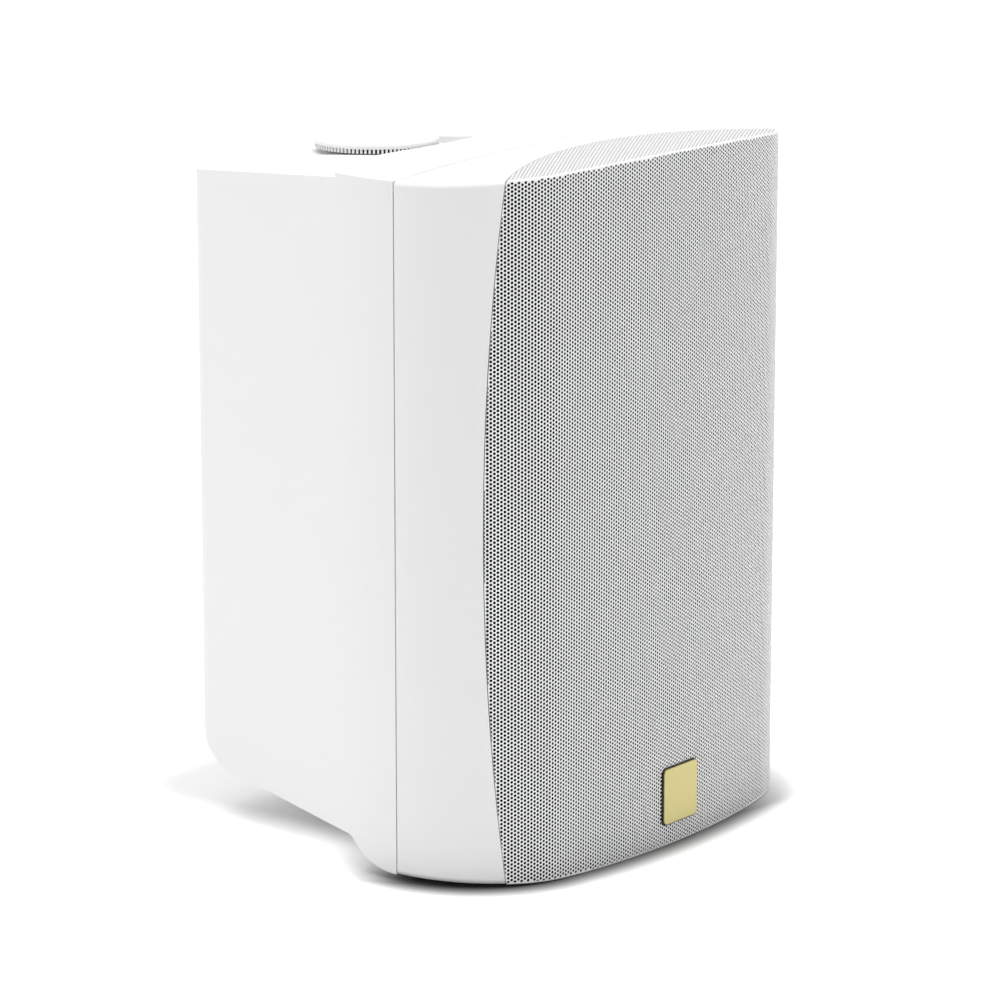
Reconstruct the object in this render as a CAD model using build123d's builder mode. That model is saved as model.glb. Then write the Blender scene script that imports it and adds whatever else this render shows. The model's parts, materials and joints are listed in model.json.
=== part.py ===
# Outdoor patio speaker: two-way, closed box, with clamping knobs for a yoke bracket above and below.
# Millimetres. X runs across, Y from front to back, Z up. The origin is under the middle of the base.
from build123d import *
from math import asin, cos, hypot, pi, radians, sin, sqrt, tan
import os

os.makedirs("parts", exist_ok=True)

# Overall form
width = 241.0
depth = 200.0
height = 305.4
front_radius = 400.0
corner_radius = 56.0
crown_rise = 5.0
base_rise = 3.0
base_flat = 100.0
edge_radius = 2.2

# Walls and clearances
cabinet_wall = 3.2
bezel_wall = 4.0
seam_gap = 0.6
seat_gap = 0.3
bond_gap = 0.05
overlap = 1.0

# Grille, its cloth and the badge on it
grille_thickness = 1.2
grille_corner_inset = 20.5
grille_top_sag = 24.6
grille_side_sag = 10.7
grille_edge_gap = 0.5
cloth_gap = 0.1
cloth_thickness = 0.5
cloth_margin = 1.5
lip_reach = 12.0
badge_size = 25.0
badge_height = 22.5
badge_corner = 2.2
badge_thickness = 0.7
pad_size = 24.4
pad_thickness = 0.6

# Rear cabinet
flange_depth = 34.0
flange_base_radius = 33.0
flange_blend_radius = 5.0
side_taper = 13.0
tub_top_drop = 6.6
tub_top_slope = 0.079
tub_base_rise = 16.0
tub_base_slope = 0.108
tub_step = 9.0
rear_edge_radius = 9.0
rear_top_radius = 4.0
rear_base_radius = 25.0

# Knob seats in the top and in the base
knob_setback = 28.9
seat_width = 74.0
seat_reach = 30.0
top_seat_drop = 14.4
base_seat_height = 26.5
boss_radius = 9.5
boss_depth = 24.0

# Clamping knobs
knob_radius = 28.0
knob_teeth = 92
tooth_depth = 1.8
tooth_gap = 0.2
tooth_height = 2.0
knob_rim = 2.3
knob_crown = 1.2
strap_gap = 2.2
neck_radius = 9.0
washer_radius = 15.0
washer_thickness = 1.0
stud_radius = 4.0
stud_length = 18.0
stud_grip = 3.0
insert_radius = 6.5
insert_length = 15.0
foot_radius = 24.0
foot_height = 2.0

# Baffle, its posts and the screws that close the case
baffle_setback = 22.7
baffle_thickness = 5.0
post_x = 92.0
post_inset = 27.0
post_radius = 6.0
rib_thickness = 4.0
rib_length = 60.0
screw_radius = 2.0
screw_head_radius = 3.7
screw_head_height = 2.2
screw_hole_gap = 0.2
case_screw_depth = 12.0
case_screw_length = 30.0
driver_screw_length = 14.0
screw_boss_radius = 4.5
screw_boss_length = 8.0

# Drivers, one above the other: the gap between them, and the share of the spare height below them
driver_gap = 3.0
driver_low_share = 0.55

# Woofer
woofer_hole_radius = 72.0
woofer_flange_radius = 84.0
woofer_flange_thickness = 4.0
woofer_gasket_thickness = 1.0
woofer_screw_circle = 79.0
woofer_screws_count = 6
basket_depth = 33.0
basket_wall = 2.4
basket_rear_radius = 53.0
basket_bore_radius = 30.0
basket_windows = 6
window_width = 26.0
ledge_radius = 45.0
ledge_depth = 24.0
ledge_thickness = 2.0
cone_radius = 58.5
cone_depth = 21.0
cone_thickness = 0.9
roll_radius = 6.2
roll_thickness = 0.8
surround_lip = 3.2
dust_cap_radius = 26.0
dust_cap_rise = 7.0
dust_cap_thickness = 0.6
spider_thickness = 0.6
spider_wave = 1.6
spider_folds = 10
coil_radius = 18.3
former_thickness = 0.5
winding_thickness = 0.8
winding_length = 13.0
coil_reach = 17.0
front_plate_radius = 48.0
plate_thickness = 6.0
magnet_radius = 50.0
magnet_bore_radius = 27.0
magnet_thickness = 16.0
rear_plate_radius = 46.0
pole_radius = 17.4
pole_vent_radius = 5.0
gap_radius = 20.4

# Tweeter
tweeter_radius = 40.0
tweeter_plate_thickness = 4.0
tweeter_hole_radius = 31.0
tweeter_spigot_radius = 30.0
tweeter_spigot_depth = 6.4
tweeter_screw_circle = 35.5
tweeter_screws_count = 4
horn_mouth_radius = 25.0
horn_flare_radius = 22.0
dome_radius = 12.5
dome_rise = 4.4
dome_thickness = 0.4
dome_roll_width = 1.6
dome_seat_radius = 17.5
tweeter_coil_length = 7.0
tweeter_coil_wall = 0.6
tweeter_top_plate_radius = 24.0
tweeter_top_plate_thickness = 3.0
tweeter_gap = 0.8
tweeter_magnet_radius = 26.0
tweeter_magnet_bore = 17.0
tweeter_magnet_thickness = 8.0
tweeter_yoke_radius = 24.0
tweeter_yoke_thickness = 4.0

# Terminal cup and binding posts in the back
cup_height_share = 0.55
cup_flange_width = 82.0
cup_flange_height = 62.0
cup_flange_thickness = 2.6
cup_flange_corner = 5.0
cup_width = 66.0
cup_tall = 46.0
cup_wall = 2.0
cup_depth = 22.0
cup_floor = 2.5
cup_corner = 4.0
cup_screw_inset = 5.0
cup_screw_length = 9.0
cup_screw_radius = 1.5
cup_screw_head_radius = 2.6
cup_screw_head_height = 1.6
binding_spacing = 19.0
binding_radius = 3.0
binding_tail = 9.0
socket_radius = 2.0
socket_depth = 12.0
wire_hole_radius = 1.3
collar_radius = 6.5
collar_thickness = 3.0
clamp_ring_radius = 4.8
clamp_ring_thickness = 0.8
cap_radius = 6.3
cap_length = 13.0
cap_flutes = 14
cap_flute_depth = 0.5
nut_across = 10.0
nut_thickness = 3.0

# Crossover on the back wall
board_width = 92.0
board_tall = 62.0
board_thickness = 1.6
board_height_share = 0.27
board_corner = 3.0
standoff_radius = 3.6
standoff_length = 10.0
board_screw_inset = 6.0
board_screw_length = 8.0
board_screw_radius = 1.5
board_screw_head_radius = 2.8
board_screw_head_height = 1.6
coil_spool_radius = 14.0
coil_spool_bore = 5.0
coil_spool_height = 13.0
coil_spool_spacing = 52.0
coil_spool_drop = 12.0
capacitor_radius = 6.5
capacitor_length = 24.0
capacitor_spacing = 38.0
capacitor_lift = 18.0
resistor_size = 8.0
resistor_length = 22.0

# Damping wadding behind the tweeter
wadding_width = 120.0
wadding_thickness = 26.0
wadding_gap = 7.0
wadding_corner = 8.0

# Places that follow from the sizes above
half_width = width / 2
badge_stand = badge_thickness + pad_thickness
front_y = -depth / 2 + badge_stand
rear_wall_y = depth / 2 - cup_flange_thickness
corner_centre_x = half_width - corner_radius
front_angle = asin(corner_centre_x / (front_radius - corner_radius))
front_centre_y = front_y + front_radius
corner_centre_y = front_centre_y - (front_radius - corner_radius) * cos(front_angle)
corner_mid_angle = (front_angle + pi / 2) / 2
seam_y = corner_centre_y
bezel_back_y = seam_y - seam_gap / 2
cabinet_front_y = seam_y + seam_gap / 2
flange_back_y = seam_y + flange_depth
taper = radians(side_taper)
flange_side_radius = flange_depth / sin(taper)
crown_radius = (half_width**2 + crown_rise**2) / (2 * crown_rise)
base_half = base_flat / 2
base_curve_radius = ((half_width - base_half) ** 2 + base_rise**2) / (2 * base_rise)
baffle_y = front_y + baffle_setback
baffle_back_y = baffle_y + baffle_thickness
cloth_inset = grille_thickness + cloth_gap
lip_inset = cloth_inset + cloth_thickness + seat_gap
knob_y = rear_wall_y - knob_setback
grille_corner_x = half_width - grille_corner_inset
top_seat_height = height - top_seat_drop
post_heights = (post_inset, height / 2, height - post_inset)
driver_stack = 2 * woofer_flange_radius + driver_gap + 2 * tweeter_radius
woofer_height = driver_low_share * (height - driver_stack) + woofer_flange_radius
tweeter_height = woofer_height + woofer_flange_radius + driver_gap + tweeter_radius
cup_height = cup_height_share * height
board_height = board_height_share * height
wadding_low = cup_height + cup_flange_height / 2 + wadding_gap
wadding_high = top_seat_height - boss_depth - wadding_gap


# Turn axis of a driver that faces forward at the given height
def driver_axis(axis_z):
    return Axis((0, 0, axis_z), (0, 1, 0))


# Closed outline of (radius, y) points beside a driver's turn axis
def driver_outline(axis_z, *points):
    with BuildSketch(Plane.XY.offset(axis_z)) as outline:
        with BuildLine():
            Polyline(*points, close=True)
        make_face()
    return outline.sketch


# Outline of a plain ring round a driver's turn axis
def ring_outline(axis_z, inner, outer, front, rear):
    return driver_outline(axis_z, (inner, front), (outer, front), (outer, rear), (inner, rear))


# Outline of a thin dome that bulges forward from its flat rim at rim_y
def dome_outline(axis_z, radius, rise, thickness, rim_y):
    curve = (radius**2 + rise**2) / (2 * rise)
    centre_y = rim_y - rise + curve
    inner = curve - thickness
    inner_radius = sqrt(inner**2 - (centre_y - rim_y) ** 2)
    half_turn = asin(radius / curve) / 2
    inner_turn = asin(inner_radius / inner) / 2
    outer_mid = (curve * sin(half_turn), centre_y - curve * cos(half_turn))
    inner_mid = (inner * sin(inner_turn), centre_y - inner * cos(inner_turn))
    with BuildSketch(Plane.XY.offset(axis_z)) as outline:
        with BuildLine():
            ThreePointArc((0, rim_y - rise), outer_mid, (radius, rim_y))
            Line((radius, rim_y), (inner_radius, rim_y))
            ThreePointArc((inner_radius, rim_y), inner_mid, (0, centre_y - inner))
            Line((0, centre_y - inner), (0, rim_y - rise))
        make_face()
    return outline.sketch


# Front view of the case: crowned top, straight sides, base flat in the middle and lifted at the sides
def end_outline(plane, inset, spread=0.0):
    half = half_width - inset + spread
    crown_centre_z = height - crown_radius
    side_top = crown_centre_z + sqrt((crown_radius - inset) ** 2 - half**2)
    bow = base_curve_radius - inset
    turn = asin((half - base_half) / bow)
    side_base = base_curve_radius - bow * cos(turn)
    bow_mid = (base_half + bow * sin(turn / 2), base_curve_radius - bow * cos(turn / 2))
    with BuildSketch(plane) as outline:
        with BuildLine():
            Line((-base_half, inset), (base_half, inset))
            ThreePointArc((base_half, inset), bow_mid, (half, side_base))
            Line((half, side_base), (half, side_top))
            ThreePointArc((half, side_top), (0, height - inset), (-half, side_top))
            Line((-half, side_top), (-half, side_base))
            ThreePointArc((-half, side_base), (-bow_mid[0], bow_mid[1]), (-base_half, inset))
        make_face()
    return outline.sketch


# Plan of the front section: a shallow front arc that runs into a tight arc at each corner
def front_plan(inset):
    half = half_width - inset
    front = front_radius - inset
    corner = corner_radius - inset
    join_x = front * sin(front_angle)
    join_y = front_centre_y - front * cos(front_angle)
    mid_x = corner_centre_x + corner * sin(corner_mid_angle)
    mid_y = corner_centre_y - corner * cos(corner_mid_angle)
    back_y = seam_y + flange_depth
    with BuildSketch() as plan:
        with BuildLine():
            ThreePointArc((-join_x, join_y), (0, front_y + inset), (join_x, join_y))
            ThreePointArc((join_x, join_y), (mid_x, mid_y), (half, corner_centre_y))
            Polyline((half, corner_centre_y), (half, back_y), (-half, back_y), (-half, corner_centre_y))
            ThreePointArc((-half, corner_centre_y), (-mid_x, mid_y), (-join_x, join_y))
        make_face()
    return plan.sketch


# Solid inside the front section's form, moved in by inset and cut off square at back_y
def front_form(inset, back_y, rounding=0.0):
    with BuildPart() as form:
        extrude(front_plan(inset), amount=height)
        end_plane = Plane.XZ.offset(-back_y)
        extrude(end_outline(end_plane, inset), amount=back_y - front_y + overlap, mode=Mode.INTERSECT)
        if rounding:
            upright = form.edges().filter_by(Axis.Z)
            lengthwise = form.edges().filter_by(Axis.Y)
            back = form.edges().filter_by(lambda edge: abs(edge.center().Y - back_y) < seam_gap / 2)
            fillet(form.edges() - upright - lengthwise - back, rounding)
    return form.part


# Space in front of the barrel-shaped surface that trims the grille, moved back by shift
def grille_zone(shift):
    corner_sag = corner_centre_y - sqrt(corner_radius**2 - (grille_corner_x - corner_centre_x) ** 2)
    side_y = corner_sag + grille_side_sag + shift
    barrel_radius = (grille_corner_x**2 + grille_top_sag**2) / (2 * grille_top_sag)
    stave_radius = ((height / 2) ** 2 + grille_side_sag**2) / (2 * grille_side_sag)
    barrel_centre_y = side_y + grille_top_sag - barrel_radius
    reach_x = half_width + 5 * overlap
    reach_y = barrel_centre_y + sqrt(barrel_radius**2 - reach_x**2)
    ahead_y = front_y - 20 * overlap
    middle = Plane.XY.offset(height / 2)
    barrel_axis = Axis((0, side_y - stave_radius, height / 2), (1, 0, 0))
    with BuildPart() as zone:
        with BuildSketch(middle):
            with BuildLine():
                ThreePointArc((-reach_x, reach_y), (0, side_y + grille_top_sag), (reach_x, reach_y))
                Polyline((reach_x, reach_y), (reach_x, ahead_y), (-reach_x, ahead_y), (-reach_x, reach_y))
            make_face()
        revolve(axis=barrel_axis, revolution_arc=1.25 * asin(height / 2 / stave_radius) * 180 / pi)
        mirror(about=middle)
    return zone.part


# Height of the sloping top and base of the cabinet's tub at a distance from the front
def tub_top(y):
    return height - tub_top_drop - tub_top_slope * (y - flange_back_y)


def tub_base(y):
    return tub_base_rise + tub_base_slope * (y - flange_back_y)


# Solid inside the cabinet's form, moved in by inset, open to the front from front_cut
def cabinet_form(inset, front_cut):
    half = half_width - inset
    bend = flange_side_radius - inset
    bend_x = half_width - flange_side_radius
    taper_x = bend_x + bend * cos(taper)
    taper_y = seam_y + bend * sin(taper)
    mid_x = bend_x + bend * cos(taper / 2)
    mid_y = seam_y + bend * sin(taper / 2)
    ahead_y = seam_y - flange_depth
    rear = rear_wall_y - inset
    rear_x = taper_x - (rear - taper_y) * tan(taper)
    top_shift = inset * hypot(1, tub_top_slope)
    base_shift = inset * hypot(1, tub_base_slope)
    tub_front = flange_back_y - tub_step - 2 * inset
    with BuildPart() as form:
        # Flange behind the seam, with its lower back edge rolled up
        flange_outline = end_outline(Plane.XZ.offset(-front_cut), inset, spread=overlap)
        extrude(flange_outline, amount=front_cut - flange_back_y + inset)
        back_edges = form.edges().group_by(Axis.Y)[-1]
        fillet(back_edges.sort_by(Axis.Z)[:3], flange_base_radius - inset)
        # Tapered tub
        with BuildSketch(Plane.YZ.offset(-half_width - overlap)) as side:
            with BuildLine():
                Polyline(
                    (tub_front, tub_base(tub_front) + base_shift),
                    (rear, tub_base(rear) + base_shift),
                    (rear, tub_top(rear) - top_shift),
                    (tub_front, tub_top(tub_front) - top_shift),
                    close=True,
                )
            make_face()
            rear_corners = side.vertices().group_by(Axis.X)[-1].sort_by(Axis.Y)
            fillet(rear_corners[0], rear_base_radius - inset)
            rear_corners = side.vertices().group_by(Axis.X)[-1].sort_by(Axis.Y)
            fillet(rear_corners[-1], rear_top_radius)
        extrude(amount=width + 2 * overlap)
        # Blend where the rolled flange runs into the tub's base, on the outside only
        if not inset:
            junction = form.edges().filter_by_position(Axis.Y, tub_front, flange_back_y - overlap)
            fillet(junction.filter_by_position(Axis.Z, 0, flange_base_radius), flange_blend_radius)
        # Plan: sides curve in behind the seam, then taper straight to the rounded back corners
        with BuildSketch() as plan:
            with BuildLine():
                Polyline((half, seam_y), (half, ahead_y), (-half, ahead_y), (-half, seam_y))
                ThreePointArc((-half, seam_y), (-mid_x, mid_y), (-taper_x, taper_y))
                Polyline((-taper_x, taper_y), (-rear_x, rear), (rear_x, rear), (taper_x, taper_y))
                ThreePointArc((taper_x, taper_y), (mid_x, mid_y), (half, seam_y))
            make_face()
            fillet(plan.vertices().group_by(Axis.Y)[-1], rear_edge_radius - inset)
        extrude(amount=height + overlap, mode=Mode.INTERSECT)
    return form.part


# Star outline of a serrated edge
def serrated(outer, inner, teeth):
    points = []
    for step in range(2 * teeth):
        radius = outer if step % 2 else inner
        angle = pi * step / teeth
        points.append((radius * cos(angle), radius * sin(angle)))
    return points


# Pan-head screws on seats at seat_y; sense 1 points them back along Y, -1 forward
def screws(seats, seat_y, sense, radius, length, head_radius, head_height):
    with BuildPart() as group:
        with BuildSketch(Plane.XZ.offset(-seat_y)):
            with Locations(*seats):
                Circle(head_radius)
        extrude(amount=sense * head_height)
        with BuildSketch(Plane.XZ.offset(-seat_y)):
            with Locations(*seats):
                Circle(radius)
        extrude(amount=-sense * length)
    return group.part


# Round bar or tube along Y between front and rear
def tube(x, z, outer, bore, front, rear):
    with BuildPart() as body:
        with BuildSketch(Plane.XZ.offset(-front)):
            with Locations((x, z)):
                Circle(outer)
                if bore:
                    Circle(bore, mode=Mode.SUBTRACT)
        extrude(amount=front - rear)
    return body.part


# Round bar or tube on the knobs' upright axis between low and high
def pillar(outer, bore, low, high):
    with BuildPart() as body:
        with BuildSketch(Plane.XY.offset(low)):
            with Locations((0, knob_y)):
                Circle(outer)
                if bore:
                    Circle(bore, mode=Mode.SUBTRACT)
        extrude(amount=high - low)
    return body.part


# Disc with a serrated edge on the knobs' upright axis
def toothed_disc(low, high):
    tip_radius = knob_radius - tooth_gap
    with BuildPart() as body:
        with BuildSketch(Plane.XY.offset(low)):
            with Locations((0, knob_y)):
                Polygon(*serrated(tip_radius, tip_radius - tooth_depth, knob_teeth))
        extrude(amount=high - low)
    return body.part


# Points of a ring of screws round a driver
def screw_ring(axis_z, circle, count):
    start = pi / count
    angles = [start + 2 * pi * step / count for step in range(count)]
    return [(circle * cos(angle), axis_z + circle * sin(angle)) for angle in angles]


# Name and write one finished piece
def finish(piece, name):
    piece.part.label = name
    export_step(piece.part, f"parts/{name}.step")


# Shared forms of the front section
bezel_outer = front_form(0, bezel_back_y, edge_radius)
grille_inner = front_form(grille_thickness, bezel_back_y, edge_radius - grille_thickness)
cloth_outer = front_form(cloth_inset, bezel_back_y, edge_radius - cloth_inset)
cloth_inner = front_form(cloth_inset + cloth_thickness, bezel_back_y)
lip_outer = front_form(lip_inset, bezel_back_y)
bezel_inner = front_form(bezel_wall, bezel_back_y)
baffle_form = front_form(bezel_wall - overlap, bezel_back_y)
zone = grille_zone(0)
bezel_zone = grille_zone(grille_edge_gap)
cloth_zone = grille_zone(-cloth_margin)
post_seats = [(side * post_x, z) for z in post_heights for side in (-1, 1)]
woofer_seats = screw_ring(woofer_height, woofer_screw_circle, woofer_screws_count)
tweeter_seats = screw_ring(tweeter_height, tweeter_screw_circle, tweeter_screws_count)
driver_seats = woofer_seats + tweeter_seats

# Perforated front grille, drawn as its sheet: it wraps over the top and base and round both sides
with BuildPart() as grille:
    add(bezel_outer)
    add(grille_inner, mode=Mode.SUBTRACT)
    add(zone, mode=Mode.INTERSECT)
finish(grille, "grille")

# Dark cloth behind the grille
with BuildPart() as grille_cloth:
    add(cloth_outer)
    add(cloth_inner, mode=Mode.SUBTRACT)
    add(cloth_zone, mode=Mode.INTERSECT)
finish(grille_cloth, "grille_cloth")

# Badge plate on its dark pad, low in the middle of the grille
with BuildPart() as badge_pad:
    with BuildSketch(Plane.XZ.offset(-front_y + bond_gap)):
        with Locations((0, badge_height)):
            RectangleRounded(pad_size, pad_size, badge_corner)
    extrude(amount=pad_thickness - bond_gap)
finish(badge_pad, "badge_pad")

with BuildPart() as badge_plate:
    with BuildSketch(Plane.XZ.offset(-front_y + pad_thickness)):
        with Locations((0, badge_height)):
            RectangleRounded(badge_size, badge_size, badge_corner)
    extrude(amount=badge_thickness)
    front_rim = badge_plate.faces().sort_by(Axis.Y)[0].edges()
    chamfer(front_rim, badge_thickness / 3)
finish(badge_plate, "badge_plate")

# Lip that the grille presses on, inside the bezel
with BuildPart() as lip:
    add(lip_outer)
    add(bezel_inner, mode=Mode.SUBTRACT)
    with BuildSketch(Plane.XZ.offset(-front_y)):
        with Locations((0, height / 2)):
            Rectangle(width, height + 2 * overlap)
    extrude(amount=-lip_reach, mode=Mode.SUBTRACT)

# Baffle across the front section
with BuildPart() as baffle:
    with BuildSketch(Plane.XZ.offset(-baffle_y)):
        with Locations((0, height / 2)):
            Rectangle(width, height)
    extrude(amount=-baffle_thickness)
    add(baffle_form, mode=Mode.INTERSECT)

# Front bezel: side walls, lip and baffle moulded as one, with screw posts and driver openings
with BuildPart() as front_bezel:
    add(bezel_outer)
    add(bezel_inner, mode=Mode.SUBTRACT)
    add(bezel_zone, mode=Mode.SUBTRACT)
    add(lip.part)
    add(baffle.part)
    with BuildSketch(Plane.XZ.offset(-baffle_back_y + overlap)):
        with Locations(*post_seats):
            Circle(post_radius)
    extrude(amount=-(bezel_back_y - baffle_back_y + overlap))
    with BuildSketch(Plane.XZ.offset(-baffle_back_y + overlap)):
        with Locations(*driver_seats):
            Circle(screw_boss_radius)
    extrude(amount=-screw_boss_length - overlap)
    with BuildSketch(Plane.XZ.offset(-front_y)):
        with Locations((0, woofer_height)):
            Circle(woofer_hole_radius)
        with Locations((0, tweeter_height)):
            Circle(tweeter_hole_radius)
        with Locations(*driver_seats):
            Circle(screw_radius + screw_hole_gap)
    extrude(amount=-(baffle_back_y - front_y) - screw_boss_length, mode=Mode.SUBTRACT)
    with BuildSketch(Plane.XZ.offset(-front_y)):
        with Locations(*post_seats):
            Circle(screw_head_radius + screw_hole_gap)
    extrude(amount=-(bezel_back_y - case_screw_depth - front_y), mode=Mode.SUBTRACT)
    with BuildSketch(Plane.XZ.offset(-bezel_back_y)):
        with Locations(*post_seats):
            Circle(screw_radius + screw_hole_gap)
    extrude(amount=case_screw_depth + overlap, mode=Mode.SUBTRACT)
finish(front_bezel, "front_bezel")

# Rubber seal in the seam between bezel and cabinet
with BuildPart() as seam_gasket:
    seam_plane = Plane.XZ.offset(-bezel_back_y)
    extrude(end_outline(seam_plane, overlap), amount=-seam_gap)
    extrude(end_outline(seam_plane, cabinet_wall), amount=-seam_gap, mode=Mode.SUBTRACT)
finish(seam_gasket, "seam_gasket")

# Hollow of the cabinet, less the moulded seats, bosses, posts and standoffs that stand in it
seat_front = knob_y - seat_reach
top_insert_z = top_seat_height - insert_length
base_insert_z = base_seat_height + insert_length
stud_reach = stud_length + overlap
seat_length = rear_wall_y - seat_front + overlap
board_face_y = rear_wall_y - cabinet_wall - standoff_length
board_x = board_width / 2 - board_screw_inset
board_z = board_tall / 2 - board_screw_inset
board_seats = [(sx * board_x, board_height + sz * board_z) for sx in (-1, 1) for sz in (-1, 1)]
cup_x = cup_flange_width / 2 - cup_screw_inset
cup_z = cup_flange_height / 2 - cup_screw_inset
cup_seats = [(sx * cup_x, cup_height + sz * cup_z) for sx in (-1, 1) for sz in (-1, 1)]
cabinet_outer = cabinet_form(0, cabinet_front_y)
cabinet_hollow = cabinet_form(cabinet_wall, cabinet_front_y - overlap)
with BuildPart() as hollow:
    add(cabinet_hollow)
    seat_y = seat_front - cabinet_wall + seat_length / 2
    with Locations((0, seat_y, top_seat_height - cabinet_wall)):
        Box(
            seat_width + 2 * cabinet_wall,
            seat_length,
            height,
            align=(Align.CENTER, Align.CENTER, Align.MIN),
            mode=Mode.SUBTRACT,
        )
    with Locations((0, seat_y, base_seat_height + cabinet_wall)):
        Box(
            seat_width + 2 * cabinet_wall,
            seat_length,
            height,
            align=(Align.CENTER, Align.CENTER, Align.MAX),
            mode=Mode.SUBTRACT,
        )
    add(pillar(boss_radius, 0, top_seat_height - boss_depth, top_seat_height), mode=Mode.SUBTRACT)
    add(pillar(boss_radius, 0, base_seat_height, base_seat_height + boss_depth), mode=Mode.SUBTRACT)
    with BuildSketch(Plane.XZ.offset(-cabinet_front_y)):
        with Locations(*post_seats):
            Circle(post_radius)
        for x, z in post_seats:
            rib_width = half_width - post_x
            with Locations((x + (rib_width / 2 if x > 0 else -rib_width / 2), z)):
                Rectangle(rib_width, rib_thickness)
    extrude(amount=-rib_length, mode=Mode.SUBTRACT)
    with BuildSketch(Plane.XZ.offset(-board_face_y)):
        with Locations(*board_seats):
            Circle(standoff_radius)
    extrude(amount=-standoff_length - overlap, mode=Mode.SUBTRACT)

# Rear cabinet: flange, tapered tub, knob seats, screw posts and the opening for the terminal cup
with BuildPart() as rear_cabinet:
    add(cabinet_outer)
    add(hollow.part, mode=Mode.SUBTRACT)
    seat_y = seat_front + seat_length / 2
    with Locations((0, seat_y, top_seat_height)):
        Box(
            seat_width,
            seat_length,
            height,
            align=(Align.CENTER, Align.CENTER, Align.MIN),
            mode=Mode.SUBTRACT,
        )
    with Locations((0, seat_y, base_seat_height)):
        Box(
            seat_width,
            seat_length,
            height,
            align=(Align.CENTER, Align.CENTER, Align.MAX),
            mode=Mode.SUBTRACT,
        )
    insert_hole = insert_radius + bond_gap
    add(pillar(insert_hole, 0, top_insert_z, top_seat_height), mode=Mode.SUBTRACT)
    add(pillar(insert_hole, 0, base_seat_height, base_insert_z), mode=Mode.SUBTRACT)
    stud_hole = stud_radius + seat_gap
    add(pillar(stud_hole, 0, top_seat_height - stud_reach, top_seat_height), mode=Mode.SUBTRACT)
    add(pillar(stud_hole, 0, base_seat_height, base_seat_height + stud_reach), mode=Mode.SUBTRACT)
    case_pilot_depth = case_screw_length - case_screw_depth - seam_gap + overlap
    with BuildSketch(Plane.XZ.offset(-cabinet_front_y)):
        with Locations(*post_seats):
            Circle(screw_radius + bond_gap)
    extrude(amount=-case_pilot_depth, mode=Mode.SUBTRACT)
    with BuildSketch(Plane.XZ.offset(-board_face_y)):
        with Locations(*board_seats):
            Circle(board_screw_radius + bond_gap)
    extrude(amount=-board_screw_length, mode=Mode.SUBTRACT)
    with BuildSketch(Plane.XZ.offset(-rear_wall_y)):
        with Locations((0, cup_height)):
            RectangleRounded(cup_width + 2 * seat_gap, cup_tall + 2 * seat_gap, cup_corner + seat_gap)
        with Locations(*cup_seats):
            Circle(cup_screw_radius + bond_gap)
    extrude(amount=cabinet_wall + overlap, mode=Mode.SUBTRACT)
finish(rear_cabinet, "rear_cabinet")

# Screws that hold the bezel to the cabinet, at the bottom of the posts' counterbores
case_seat_y = bezel_back_y - case_screw_depth
with BuildPart() as case_screws:
    add(
        screws(
            post_seats,
            case_seat_y,
            1,
            screw_radius,
            case_screw_length,
            screw_head_radius,
            screw_head_height,
        )
    )
finish(case_screws, "case_screws")

# Woofer stations along its axis, from the baffle's front face
flange_rear_y = baffle_y - woofer_gasket_thickness
flange_front_y = flange_rear_y - woofer_flange_thickness
basket_rear_y = flange_rear_y + basket_depth
ledge_y = flange_rear_y + ledge_depth
cone_front_y = flange_front_y - roll_thickness
cone_rear_y = cone_front_y + cone_depth
magnet_front_y = basket_rear_y + plate_thickness
magnet_rear_y = magnet_front_y + magnet_thickness
yoke_rear_y = magnet_rear_y + plate_thickness
former_radius = coil_radius + former_thickness
neck_radius_front = former_radius + bond_gap
woofer_axis = driver_axis(woofer_height)
surround_radius = cone_radius + 2 * roll_radius
surround_outer = surround_radius + surround_lip

# Foam seal under the woofer's flange
with BuildPart() as woofer_gasket:
    seal_inner = woofer_hole_radius + overlap
    seal_outer = woofer_flange_radius - overlap
    revolve(
        ring_outline(woofer_height, seal_inner, seal_outer, flange_rear_y, baffle_y), axis=woofer_axis
    )
    with BuildSketch(Plane.XZ.offset(-flange_rear_y)):
        with Locations(*woofer_seats):
            Circle(screw_radius + screw_hole_gap)
    extrude(amount=-woofer_gasket_thickness, mode=Mode.SUBTRACT)
finish(woofer_gasket, "woofer_gasket")

# Pressed basket: flange, windowed cone of legs, ledge for the spider and the seat of the magnet
wall_outer = surround_radius - basket_wall
wall_inner = wall_outer - basket_wall
wall_slope = (wall_outer - basket_rear_radius) / basket_depth
ledge_wall = wall_outer - wall_slope * ledge_depth - basket_wall
with BuildPart() as woofer_basket:
    revolve(
        driver_outline(
            woofer_height,
            (wall_inner, flange_front_y),
            (woofer_flange_radius, flange_front_y),
            (woofer_flange_radius, flange_rear_y),
            (wall_outer, flange_rear_y),
            (basket_rear_radius, basket_rear_y),
            (basket_bore_radius, basket_rear_y),
            (basket_bore_radius, basket_rear_y - basket_wall),
            (basket_rear_radius - basket_wall, basket_rear_y - basket_wall),
            (ledge_wall, ledge_y + ledge_thickness),
            (ledge_radius, ledge_y + ledge_thickness),
            (ledge_radius, ledge_y),
            (ledge_wall, ledge_y),
            (wall_inner, flange_rear_y),
        ),
        axis=woofer_axis,
    )
    window_front_y = flange_rear_y + basket_wall
    with BuildSketch(Plane.XZ.offset(-window_front_y)):
        with Locations((0, woofer_height)):
            with PolarLocations(wall_inner - basket_wall, basket_windows):
                Rectangle(4 * basket_wall, window_width)
    extrude(amount=-(ledge_depth - 2 * basket_wall), mode=Mode.SUBTRACT)
    with BuildSketch(Plane.XZ.offset(-flange_front_y)):
        with Locations(*woofer_seats):
            Circle(screw_radius + screw_hole_gap)
    extrude(amount=-woofer_flange_thickness, mode=Mode.SUBTRACT)
finish(woofer_basket, "woofer_basket")

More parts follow.
